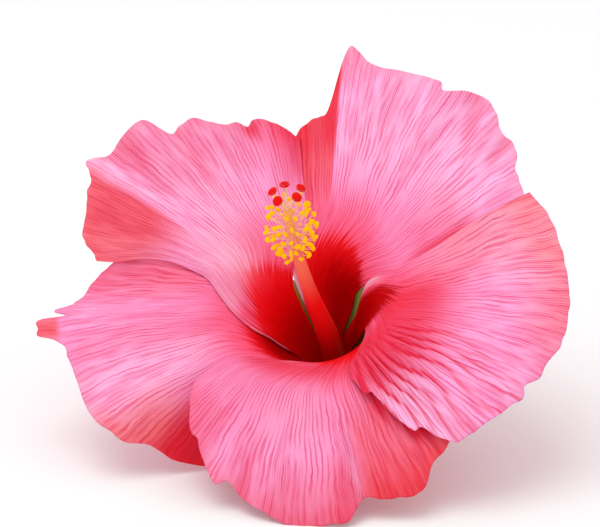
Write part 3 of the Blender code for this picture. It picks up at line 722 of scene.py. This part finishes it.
def join_repeats(name, points, material, node, fields=None):
    """One object from many closed grids of the same size, copies by rows by columns."""
    copies, rows, columns = points.shape[:3]
    index = np.arange(copies * rows * columns).reshape(copies, rows, columns)
    index = np.concatenate([index, index[:, :, :1]], 2)
    corners = [index[:, :-1, :-1], index[:, :-1, 1:], index[:, 1:, 1:], index[:, 1:, :-1]]
    faces = np.stack(corners, -1).reshape(-1, 4).tolist()
    faces += [loop[:-1][::-1] for loop in index[:, 0].tolist()]
    faces += [loop[:-1] for loop in index[:, -1].tolist()]
    made = new_piece(name, lay_down(points), faces, fields)
    weld(made)
    show(made, node, material)


def ball_angles(pole, rings, sides):
    """Polar angles and turns of a ball's points, with small flat caps at its poles."""
    return np.meshgrid(np.linspace(pole, math.pi - pole, rings), round_angles(sides), indexing="ij")


def make_anthers(material):
    """Kidney-shaped anthers: a ball squeezed to a bean, with a groove round its belly."""
    _, end, way, direction = stamen_lines()
    chance = np.random.default_rng(21)
    polar, turn = ball_angles(0.06, 11, 14)
    x = np.cos(polar) * 1.15
    y = np.sin(polar) * np.cos(turn) * 0.8 - 0.45 * (np.cos(polar) ** 2)
    z = np.sin(polar) * np.sin(turn) * 0.72 * (1.0 - 0.25 * bump(np.cos(turn), 0.0, 0.35))
    grain = 1.0 + 0.06 * np.sin(9 * polar) * np.sin(7 * turn)
    bean = np.stack([x, y, z], -1) * grain[..., None]
    spin = chance.uniform(0.0, math.tau, STAMENS)
    side, over = square_to(way, direction)
    first = side * np.cos(spin)[:, None] + over * np.sin(spin)[:, None]
    second = -side * np.sin(spin)[:, None] + over * np.cos(spin)[:, None]
    axes = np.stack([first, way, second], 1)
    size = ANTHER_SIZE * chance.uniform(0.88, 1.15, STAMENS)
    points = np.einsum("rcj,njk->nrck", bean, axes) * size[:, None, None, None]
    points = points + end[:, None, None]
    join_repeats("anthers", points, material, "staminal_column")


def make_pistil(style, stigma, hair):
    """Five curved branches out of the style's tip, each under a velvety pad."""
    tip, direction, _ = column_line(np.array([1.0]))
    tip, direction = tip[0], direction[0]
    top = tip + direction * FOOT_RISE
    angles = np.radians(np.array(BRANCH_ANGLES, float))
    out = outward(np.repeat(direction[None], len(angles), 0), angles)
    foot = tip - direction * (SOCKET_DEPTH - CLEARANCE)
    tube = close_ends(tube_points(np.linspace(foot, top, 8), [STYLE_RADIUS] * 7 + [STYLE_TIP], 20))
    piece = grid_object("style", lay_down(tube), around=True)
    weld(piece)
    show(piece, "pistil", style)
    t = np.linspace(0, 1, 11)
    reach = out * np.array(BRANCH_REACHES)[:, None]
    knee = top + reach * 0.55 + direction * BRANCH_RISE * 0.35
    end = top + reach + direction * BRANCH_RISE
    root = top - direction * BRANCH_SINK + out * BRANCH_SPREAD
    weights = np.stack([(1 - t) ** 2, 2 * t * (1 - t), t ** 2], -1)
    lines = np.einsum("tk,knj->ntj", weights, np.stack([root, knee, end]))
    tubes = np.stack([tube_points(line, BRANCH_RADIUS * (1.5 - 0.5 * t), 10) for line in lines])
    join_repeats("style_branches", tubes, style, "pistil")
    face = unit(out * 0.75 + direction)
    side, over = square_to(face, direction)
    polar, turn = ball_angles(0.03, 15, 24)
    dimple = 1.0 + 0.05 * np.sin(6 * turn) * np.sin(5 * polar)
    x = np.sin(polar) * np.cos(turn) * STIGMA_RADIUS * dimple
    y = np.sin(polar) * np.sin(turn) * STIGMA_RADIUS * dimple
    z = np.cos(polar) * 0.5 * STIGMA_HEIGHT
    pads = x[None, ..., None] * side[:, None, None] + y[None, ..., None] * over[:, None, None] \
        + z[None, ..., None] * face[:, None, None] + end[:, None, None]
    join_repeats("stigmas", pads, stigma, "pistil")
    make_stigma_hairs(side, over, face, end, hair)


def make_stigma_hairs(side, over, face, end, material):
    """A halo of fine papillae that stand out of each pad's rim."""
    chance = np.random.default_rng(4)
    turn = chance.uniform(0.0, math.tau, (len(end), HAIRS))
    polar = chance.normal(math.pi / 2.0, 0.22, (len(end), HAIRS))
    x, y, z = np.sin(polar) * np.cos(turn), np.sin(polar) * np.sin(turn), np.cos(polar)
    way = x[..., None] * side[:, None] + y[..., None] * over[:, None] + z[..., None] * face[:, None]
    base = end[:, None] + way * STIGMA_RADIUS * 0.93
    base = base - face[:, None] * (z * (STIGMA_RADIUS - 0.5 * STIGMA_HEIGHT))[..., None]
    way, base = way.reshape(-1, 3), base.reshape(-1, 3)
    length = chance.uniform(*HAIR_LENGTHS, len(way))
    t = np.array([0.0, 1.0])
    circle = circles(*square_to(way, (0.3, 0.5, 0.8)), np.array([0.0, 2.1, 4.2]))
    line = base[:, None] + way[:, None] * (t * length[:, None])[..., None]
    radius = HAIR_RADIUS * np.array([1.0, 0.5])
    points = line[:, :, None] + circle[:, None] * radius[None, :, None, None]
    join_repeats("stigma_hairs", points, material, "pistil")


def sepal_lobe(angle):
    """0 between two sepals and 1 at a sepal's tip."""
    turn = (angle - SEPAL_AT) / 72.0 + 0.5
    return 1.0 - np.abs(2.0 * (turn - np.floor(turn)) - 1.0)


def calyx_surface(angle, share):
    """A cup that follows the corolla's tube from outside and ends in five pointed sepals."""
    top = SEPAL_SINUS + (SEPAL_TIP - SEPAL_SINUS) * sepal_lobe(angle) ** 0.8
    distance = top * np.clip((share - CALYX_BASE) / (1.0 - CALYX_BASE), 0, 1)
    gap = -0.5 * CAD_PETAL - CLEARANCE - 0.5 * CAD_CALYX
    lift = gap - 0.0003 - (LAYER + 0.0002) * between(distance, 0.0, LAYER_END)
    lift = lift - 0.00022 * bump(sepal_lobe(angle), 1.0, 0.09) + 0.0001 * np.cos(np.radians(angle) * 40)
    wall = corolla(angle, distance, lift)
    floor = np.clip(share / CALYX_BASE, 0, 1)
    turn = np.radians(angle)
    reach = CALYX_HOLE + (np.hypot(wall[..., 0], wall[..., 1]) - CALYX_HOLE) * np.sin(floor * math.pi / 2)
    height = CALYX_FLOOR + (wall[..., 2] - CALYX_FLOOR) * (1.0 - np.cos(floor * math.pi / 2))
    return np.stack([reach * np.cos(turn), reach * np.sin(turn), height], -1)


def make_calyx(material):
    columns, rows = CALYX_GRID
    angle, share = np.meshgrid(np.linspace(0.0, 360.0, columns, endpoint=False), np.linspace(0, 1, rows))
    points = calyx_surface(angle, share)[:, ::-1]
    turned = angle[:, ::-1]
    lit = sum(bump(turned, *place) for place in LIT_PLACES)
    fields = {"across": (turned % 72.0) / 72.0, "along": share, "lit": lit * between(share, 0.2, 0.4),
              "mean_radius": np.hypot(points[..., 0], points[..., 1])}
    calyx = grid_object("calyx_cup", lay_down(points), around=True, fields=fields)
    thicken(calyx, CALYX_THICKNESS)
    show(calyx, "calyx", material)


def bracteole_surface(side, share):
    """A narrow leaf that leaves the collar sideways and bends up beside the calyx."""
    half = 0.5 * BRACTEOLE_WIDTH * (0.45 + 0.55 * np.sin(math.pi * (0.15 + 0.75 * share)))
    half = half * (1.0 - 0.85 * between(share, 0.7, 1.0))
    bend = np.radians(14.0 + 52.0 * share)
    reach = BRACTEOLE_LENGTH * share * np.cos(0.5 * bend)
    rise = BRACTEOLE_LENGTH * share * np.sin(0.5 * bend) + 0.0002 * side ** 2
    return np.stack([COLLAR_RADIUS + reach, half * side, COLLAR_HEIGHT + rise], -1)


def make_epicalyx(material):
    """A collar ring and its seven bracteoles."""
    side, share = np.meshgrid(np.linspace(-1, 1, 9), np.linspace(0, 1, 30))
    leaf = bracteole_surface(side, share)
    for number in range(BRACTEOLES):
        turn = math.tau * number / BRACTEOLES
        spin = np.array(Matrix.Rotation(turn, 3, "Z"))
        piece = grid_object(f"bracteole_{number}", lay_down(leaf @ spin.T)[:, ::-1],
                            fields={"across": side[:, ::-1] * 0.5 + 0.5, "along": share})
        thicken(piece, BRACTEOLE_THICKNESS)
        show(piece, "epicalyx", material)
    ring, tube = np.meshgrid(round_angles(60), np.linspace(0.0, math.tau, 17))
    reach = COLLAR_RADIUS + COLLAR_TUBE * np.cos(tube)
    points = np.stack([reach * np.cos(ring), reach * np.sin(ring),
                       COLLAR_HEIGHT + COLLAR_TUBE * np.sin(tube)], -1)
    collar = grid_object("collar", lay_down(points), around=True,
                         fields={"across": ring / 6.3, "along": tube / 6.3})
    weld(collar)
    show(collar, "epicalyx", material)


def make_pedicel(material):
    """The stalk: a receptacle under the calyx, a bend, and a run along the surface."""
    to_flower = flower_matrix().inverted()
    base = Vector(FLOWER_AT)
    height = PEDICEL_RADIUS - PEDICEL_FLAT
    turn = [base + Vector(point) for point in PEDICEL_TURN]
    end = Vector((base.x + PEDICEL_END[0], base.y + PEDICEL_END[1], height))
    run = [turn[-1].lerp(end, step / 4) for step in range(1, 5)]
    for point in run:
        point.z = height
    knots = [(0, 0, RECEPTACLE_TOP, RECEPTACLE_RADIUS), (0, 0, COLLAR_HEIGHT, RECEPTACLE_RADIUS)]
    knots += [(*(to_flower @ point), PEDICEL_RADIUS) for point in turn + run]
    share = np.linspace(0, 1, STALK_RINGS)
    line = through([(place, *knot) for place, knot in enumerate(knots)], share * (len(knots) - 1))
    points = close_ends(tube_points(line[:, :3], line[:, 3], STALK_SIDES))
    along = np.concatenate([[0.0], share, [1.0]])
    stalk = grid_object("stalk", lay_down(points), around=True,
                        fields={"along": np.repeat(along[:, None], STALK_SIDES, 1)})
    weld(stalk)
    show(stalk, "pedicel", material)


class Nodes:
    """A shader tree with short ways to add to it. Values are sockets or constants."""

    def __init__(self, tree):
        self.tree = tree

    def join(self, value, socket):
        """Link a node's output to a socket, or set the socket to a constant."""
        if isinstance(value, bpy.types.NodeSocket):
            self.tree.links.new(value, socket)
        else:
            socket.default_value = value

    def add(self, kind, inputs=None, **settings):
        """The outputs of a new node with its settings, and its inputs linked or set."""
        made = self.tree.nodes.new("ShaderNode" + kind)
        for key, value in settings.items():
            setattr(made, key, value)
        for key, value in (inputs or {}).items():
            self.join(value, made.inputs[key])
        return made.outputs

    def maths(self, operation, *values, clamp=False):
        return self.add("Math", dict(enumerate(values)), operation=operation, use_clamp=clamp)[0]

    def times(self, value, factor):
        return self.maths("MULTIPLY", value, factor)

    def less(self, value, taken):
        return self.maths("SUBTRACT", value, taken)

    def scaled(self, value, factor, more):
        return self.maths("MULTIPLY_ADD", value, factor, more)

    def vector(self, operation, *values):
        made = self.add("VectorMath", dict(enumerate(values)), operation=operation)
        return made["Value" if operation == "LENGTH" else "Vector"]

    def mix(self, share, first, second, blend="MIX"):
        return self.add("Mix", {0: share, 6: first, 7: second}, data_type="RGBA", blend_type=blend)[2]

    def step(self, value, start, end):
        """0 below start and 1 above end, eased between."""
        return self.add("MapRange", {"Value": value, "From Min": start, "From Max": end},
                        interpolation_type="SMOOTHSTEP")["Result"]

    def field(self, name):
        return self.add("Attribute", attribute_name=name)["Fac"]

    def noise(self, x, across, y, out, z, detail):
        """Smooth noise about 0.5 over x and y, each stretched by its factor."""
        where = self.add("CombineXYZ", {0: self.times(x, across), 1: self.times(y, out), 2: z})[0]
        return self.add("TexNoise", {"Vector": where, "Scale": 1.0, "Detail": detail})["Fac"]

    def veins(self, across, along, count):
        return self.add("Group", {"Across": across, "Along": along, "Count": count}, node_tree=VEINS)

    def grain(self, scale):
        return self.add("Group", {"Scale": scale}, node_tree=GRAIN)


def new_group(name, inputs, outputs):
    """The nodes, inputs and outputs of a shader node group of named floats."""
    group = bpy.data.node_groups.new(name, "ShaderNodeTree")
    for way, keys in (("INPUT", inputs), ("OUTPUT", outputs)):
        for key in keys:
            group.interface.new_socket(key, in_out=way, socket_type="NodeSocketFloat")
    given, result = group.nodes.new("NodeGroupInput"), group.nodes.new("NodeGroupOutput")
    return Nodes(group), given.outputs, result.inputs


def fork_lines(nodes, place, along, start, span, spread, width, salt):
    """Lines at whole numbers of place, each forking into three past a start of its own.

    The side lines leave the middle one and settle a third of the spacing away. Puts out the
    lines and the share of the fork that is done.
    """
    number = nodes.maths("ROUND", place)
    off = nodes.maths("ABSOLUTE", nodes.less(place, number))
    seed = nodes.add("CombineXYZ", {0: number, 1: salt})[0]
    chance = nodes.add("TexWhiteNoise", {"Vector": seed})["Value"]
    begin = nodes.scaled(chance, span, start)
    done = nodes.step(nodes.maths("DIVIDE", nodes.less(along, begin), spread), 0, 1)
    aside = nodes.maths("ABSOLUTE", nodes.scaled(done, -1.0 / 3.0, off))
    near = nodes.maths("DIVIDE", nodes.maths("MINIMUM", off, aside), width)
    return nodes.maths("SUBTRACT", 1.0, near, clamp=True), done


def vein_group():
    """Veins that run along a blade and fork twice on their way out, and the fibres between them."""
    nodes, given, result = new_group("vein_lines", ["Across", "Along", "Count"],
                                     ["Lines", "Fine", "Streaks"])
    along = given["Along"]
    straight = nodes.times(given["Across"], given["Count"])
    sway = nodes.noise(straight, 0.3, along, 4.5, 0.0, 2.0)
    tremor = nodes.noise(straight, 2.2, along, 30.0, 3.0, 2.0)
    place = nodes.scaled(nodes.less(sway, 0.5), 0.9, straight)
    place = nodes.scaled(nodes.less(tremor, 0.5), 0.16, place)
    first, forked = fork_lines(nodes, place, along, 0.16, 0.26, 0.2, 0.075, 1.0)
    second, _ = fork_lines(nodes, nodes.times(place, 3.0), along, 0.44, 0.36, 0.18, 0.16, 2.0)
    second = nodes.times(nodes.times(second, nodes.maths("GREATER_THAN", forked, 0.97)), 0.75)
    strength = nodes.step(nodes.noise(straight, 1.9, along, 9.0, 4.0, 1.0), 0.24, 0.62)
    nodes.join(nodes.times(nodes.maths("MAXIMUM", first, second), strength), result["Lines"])
    nodes.join(nodes.noise(place, 6.0, along, 12.0, 9.0, 2.0), result["Fine"])
    nodes.join(nodes.noise(place, 2.1, along, 4.0, 6.0, 1.0), result["Streaks"])
    return nodes.tree


def grain_group():
    """Fine cells of living tissue, as a height and a mask that varies softly."""
    nodes, given, result = new_group("tissue_grain", ["Scale"], ["Height", "Patches"])
    place = nodes.add("TexCoord")["Object"]
    cells = nodes.add("TexVoronoi", {"Vector": place, "Scale": given["Scale"]}, feature="F1")
    broad = nodes.add("TexNoise", {"Vector": place, "Scale": 90.0, "Detail": 3.0})
    nodes.join(cells["Distance"], result["Height"])
    nodes.join(broad["Fac"], result["Patches"])
    return nodes.tree


VEINS = vein_group()
GRAIN = grain_group()


class Tissue(Nodes):
    """A material, called t where it is made: nodes round a Principled shader."""

    def __init__(self, name, roughness, **inputs):
        self.material = bpy.data.materials.new(name)
        self.material.use_nodes = True
        super().__init__(self.material.node_tree)
        self.shader = self.tree.nodes["Principled BSDF"]
        self.put(Roughness=roughness, **inputs)

    def put(self, **inputs):
        """Link or set the shader's inputs, whose names have _ for a space here."""
        for key, value in inputs.items():
            self.join(value, self.shader.inputs[key.replace("_", " ")])

    def bump(self, height, distance, strength=1.0):
        made = self.add("Bump", {"Height": height, "Distance": distance, "Strength": strength})
        self.put(Normal=made["Normal"])


def rgb(red, green, blue):
    return (red, green, blue, 1.0)


def petal_material():
    """Pink tissue with forking veins, a red eye that feathers out along them, pale parts, and painted light
    and shade: a salmon glow, highlights and shade painted into its colour.
    """
    t = Tissue("petal_tissue", 0.55, Subsurface_Weight=0.35, Subsurface_Scale=0.001,
                  Subsurface_Radius=(1.0, 0.25, 0.35), Sheen_Roughness=0.45,
                  Sheen_Tint=rgb(1.0, 0.75, 0.88))
    uv = t.add("SeparateXYZ", {0: t.add("UVMap", uv_map="UVMap")[0]})
    veins = t.veins(uv["X"], uv["Y"], 22.0)
    lines, fine = veins["Lines"], veins["Fine"]
    grain = t.grain(1500.0)
    feather = t.noise(uv["X"], 110.0, uv["Y"], 4.0, 0.0, 2.0)
    past = t.less(t.field("past_eye"), t.times(t.less(feather, 0.5), 1.1))
    past = t.scaled(lines, -0.22, past)
    outer = t.step(t.field("distance"), 0.42, 0.8)
    colour = t.mix(outer, rgb(0.96, 0.27, 0.53), rgb(0.97, 0.42, 0.74))
    colour = t.mix(t.step(past, 0.0, 1.6), rgb(0.96, 0.1, 0.22), colour)
    patches = t.times(t.step(grain["Patches"], 0.35, 0.7), 0.22)
    colour = t.mix(patches, colour, rgb(0.95, 0.28, 0.5))
    # painted light: a salmon glow of light shining through the petal where it turns from the lamp and along
    # lit rims
    colour = t.mix(t.field("painted_coral_light"), colour, rgb(0.95, 0.24, 0.29))
    # pale streaks of the petal's own, and painted light and highlights, lighten the colour
    pale = t.field("pale")
    streaky = t.times(pale, t.step(veins["Streaks"], 0.22, 0.74))
    streaky = t.scaled(pale, 0.65, t.times(streaky, 0.35))
    colour = t.mix(streaky, colour, rgb(0.96, 0.66, 0.86))
    # painted shade: the colour darkened in grooves, on flanks turned from the light and under neighbouring
    # petals
    colour = t.mix(t.field("painted_shade"), colour, rgb(0.84, 0.05, 0.13), "MULTIPLY")
    mottle = t.times(t.step(fine, 0.35, 0.65), 0.2)
    colour = t.mix(mottle, colour, rgb(0.97, 0.6, 0.7), "MULTIPLY")
    colour = t.mix(t.times(lines, 0.95), colour, rgb(0.82, 0.15, 0.33), "MULTIPLY")
    eye = t.less(1.0, t.step(past, -0.22, 0.2))
    eye = t.times(eye, t.less(1.0, t.times(streaky, 0.95)))
    edge = t.step(t.field("past_eye"), -0.9, 0.1)
    red = t.mix(edge, rgb(0.93, 0.002, 0.005), rgb(0.98, 0.012, 0.02))
    # the eye darkened: its own darker red towards the throat, with painted shade there and on petals turned
    # from the light
    red = t.mix(t.field("dark"), red, rgb(0.36, 0.0, 0.0006))
    flecks = t.times(t.step(fine, 0.4, 0.6), 0.3)
    red = t.mix(flecks, red, rgb(0.6, 0.3, 0.3), "MULTIPLY")
    red = t.mix(t.times(lines, 0.55), red, rgb(0.45, 0.3, 0.3), "MULTIPLY")
    away = t.less(1.0, eye)
    t.put(Base_Color=t.mix(eye, colour, red), Sheen_Weight=t.times(away, 0.08),
             Specular_IOR_Level=t.scaled(away, 0.18, 0.02),
             Roughness=t.scaled(grain["Patches"], 0.14, 0.46))
    height = t.scaled(fine, 0.5, t.times(lines, -0.45))
    t.bump(t.scaled(grain["Height"], 0.12, height), 0.00012, 0.5)
    return t.material


def column_material():
    """Deep red at the foot, through scarlet and salmon, to pale orange at the tip."""
    t = Tissue("column_tissue", 0.45, Subsurface_Weight=0.2, Subsurface_Scale=0.0008,
                  Subsurface_Radius=(1.0, 0.3, 0.2), Specular_IOR_Level=0.12)
    along, grain = t.field("along"), t.grain(3000.0)
    colour = rgb(0.66, 0.0, 0.001)
    for start, end, next_colour in ((0.16, 0.4, rgb(1.0, 0.006, 0.007)),
                                    (0.48, 0.76, rgb(1.0, 0.21, 0.13)),
                                    (0.76, 0.95, rgb(1.0, 0.52, 0.15))):
        colour = t.mix(t.step(along, start, end), colour, next_colour)
    blush = t.times(grain["Patches"], 0.1)
    t.put(Base_Color=t.mix(blush, colour, rgb(0.9, 0.02, 0.03)))
    t.bump(grain["Height"], 0.00005, 0.5)
    return t.material


def filament_material():
    t = Tissue("filament_tissue", 0.4, Subsurface_Weight=0.2, Subsurface_Scale=0.0005)
    t.put(Base_Color=t.mix(t.field("along"), rgb(0.93, 0.42, 0.42), rgb(0.95, 0.72, 0.66)))
    return t.material


def anther_material():
    """Golden pollen sacs, grainy, with painted shade in the grooves between grains and a faint painted
    orange glow.
    """
    # painted glow: a faint orange emission, though the pollen is no lamp
    t = Tissue("pollen", 0.75, Specular_IOR_Level=0.1, Emission_Strength=0.22,
                  Emission_Color=rgb(1.0, 0.5, 0.0))
    grain = t.grain(6500.0)
    # painted shade: darker orange in the grooves between grains
    furrow_shade = t.step(grain["Height"], 0.25, 0.75)
    colour = t.mix(furrow_shade, rgb(1.0, 0.66, 0.0), rgb(1.0, 0.4, 0.0))
    t.put(Base_Color=t.mix(t.step(grain["Patches"], 0.45, 0.65), colour, rgb(1.0, 0.58, 0.0)))
    t.bump(t.times(grain["Height"], -1.0), 0.00012)
    return t.material


def stigma_material():
    """Velvety red pads, with painted shade in the grooves between their cells."""
    t = Tissue("stigma_velvet", 0.85, Sheen_Weight=0.05, Sheen_Roughness=0.35,
                  Sheen_Tint=rgb(1.0, 0.45, 0.35), Specular_IOR_Level=0.1)
    height = t.grain(7500.0)["Height"]
    # painted shade: darker red in the grooves between cells
    t.put(Base_Color=t.mix(height, rgb(1.0, 0.01, 0.004), rgb(0.84, 0.004, 0.004)))
    t.bump(t.times(height, -1.0), 0.0001)
    return t.material


def patchy_material(name, roughness, scale, first, second, **inputs):
    """Two colours that pass softly into each other."""
    t = Tissue(name, roughness, **inputs)
    t.put(Base_Color=t.mix(t.grain(scale)["Patches"], first, second))
    return t.material


def inner_side(t):
    """1 where a cup's wall faces the flower's axis: nearer to it than the wall's mean radius."""
    place = t.vector("SUBTRACT", t.add("TexCoord")["Object"], tuple(TO_WORLD[:3, 3]))
    radius = t.vector("LENGTH", t.vector("CROSS_PRODUCT", place, tuple(TO_WORLD[:3, 2])))
    return t.step(t.less(t.field("mean_radius"), radius), -0.0001, 0.0001)


def green_material(name, dark, light, count):
    """Leafy green with lengthwise veins and soft patches, and lighter where it is lit inside."""
    t = Tissue(name, 0.5, Specular_IOR_Level=0.35, Subsurface_Weight=0.12, Subsurface_Scale=0.0006)
    lines = t.veins(t.field("across"), t.field("along"), count)["Lines"]
    grain = t.grain(2200.0)
    colour = t.mix(t.step(grain["Patches"], 0.3, 0.7), dark, light)
    colour = t.mix(t.times(lines, 0.35), colour, rgb(0.4, 0.52, 0.2))
    lit = t.times(t.field("lit"), inner_side(t))
    t.put(Base_Color=t.mix(lit, colour, rgb(0.5, 0.95, 0.18)))
    t.bump(t.maths("ADD", t.times(lines, 0.6), grain["Height"]), 0.00008, 0.7)
    return t.material


def make_floor():
    x, y = np.meshgrid(*[np.linspace(-FLOOR_REACH, FLOOR_REACH, 3)] * 2)
    floor = grid_object("floor", np.stack([x, y, np.full_like(x, FLOOR_LEVEL)], -1))
    pale = Tissue("pale_floor", 0.8, Specular_IOR_Level=0.1, Base_Color=rgb(0.95, 0.95, 0.95))
    floor.data.materials.append(pale.material)


def light_scene():
    """A white sky and one soft lamp above, in front and to the left."""
    scene = bpy.context.scene
    scene.world = bpy.data.worlds.new("studio")
    scene.world.use_nodes = True
    sky = scene.world.node_tree.nodes["Background"]
    sky.inputs["Color"].default_value = rgb(1.0, 1.0, 1.0)
    sky.inputs["Strength"].default_value = SKY_STRENGTH
    lamp = bpy.data.lights.new("key", "AREA")
    lamp.shape, lamp.size, lamp.energy = "DISK", KEY_SIZE, KEY_POWER
    key = bpy.data.objects.new("key", lamp)
    key.location = KEY_AT
    key.rotation_euler = (Vector(KEY_AIM) - Vector(KEY_AT)).to_track_quat("-Z", "Y").to_euler()
    scene.collection.objects.link(key)
    scene.view_settings.view_transform = "Standard"
    scene.cycles.use_denoising = True


def place_camera():
    """The claw's point falls on its pixel, at the photograph's elevation and distance."""
    side = Vector((1, 0, 0))
    up = Vector((0, math.sin(VIEW_ELEVATION), math.cos(VIEW_ELEVATION)))
    toward = Vector((0, -math.cos(VIEW_ELEVATION), math.sin(VIEW_ELEVATION)))
    camera = bpy.data.objects.new("camera", bpy.data.cameras.new("camera"))
    camera.location = Vector(FLOWER_AT) + toward * VIEW_DISTANCE
    look = side * (PICTURE[0] / 2 - CLAW_PIXEL[0]) + up * (CLAW_PIXEL[1] - PICTURE[1] / 2) \
        - toward * FOCAL_PIXELS
    camera.rotation_euler = look.to_track_quat("-Z", "Y").to_euler()
    camera.data.sensor_width = SENSOR
    camera.data.lens = SENSOR * FOCAL_PIXELS / PICTURE[0]
    camera.data.clip_start = 0.01
    bpy.context.scene.collection.objects.link(camera)
    bpy.context.scene.camera = camera


def main():
    tissue = petal_material()
    for name in PETALS:
        make_petal(name, tissue)
    make_column(column_material())
    make_filaments(filament_material())
    make_anthers(anther_material())
    style = patchy_material("style_tissue", 0.4, 3500.0, rgb(0.96, 0.66, 0.46), rgb(0.95, 0.52, 0.36),
                            Subsurface_Weight=0.2, Subsurface_Scale=0.0005)
    hair = patchy_material("stigma_hair", 0.5, 4000.0, rgb(0.98, 0.62, 0.62), rgb(0.96, 0.45, 0.5),
                           Sheen_Weight=0.3)
    make_pistil(style, stigma_material(), hair)
    make_calyx(green_material("sepal_leaf", rgb(0.1, 0.28, 0.03), rgb(0.2, 0.42, 0.07), 5.0))
    make_epicalyx(green_material("bracteole_leaf", rgb(0.08, 0.2, 0.03), rgb(0.16, 0.32, 0.06), 3.0))
    make_pedicel(green_material("stalk_bark", rgb(0.1, 0.2, 0.04), rgb(0.2, 0.3, 0.08), 6.0))
    make_floor()
    light_scene()
    place_camera()


main()
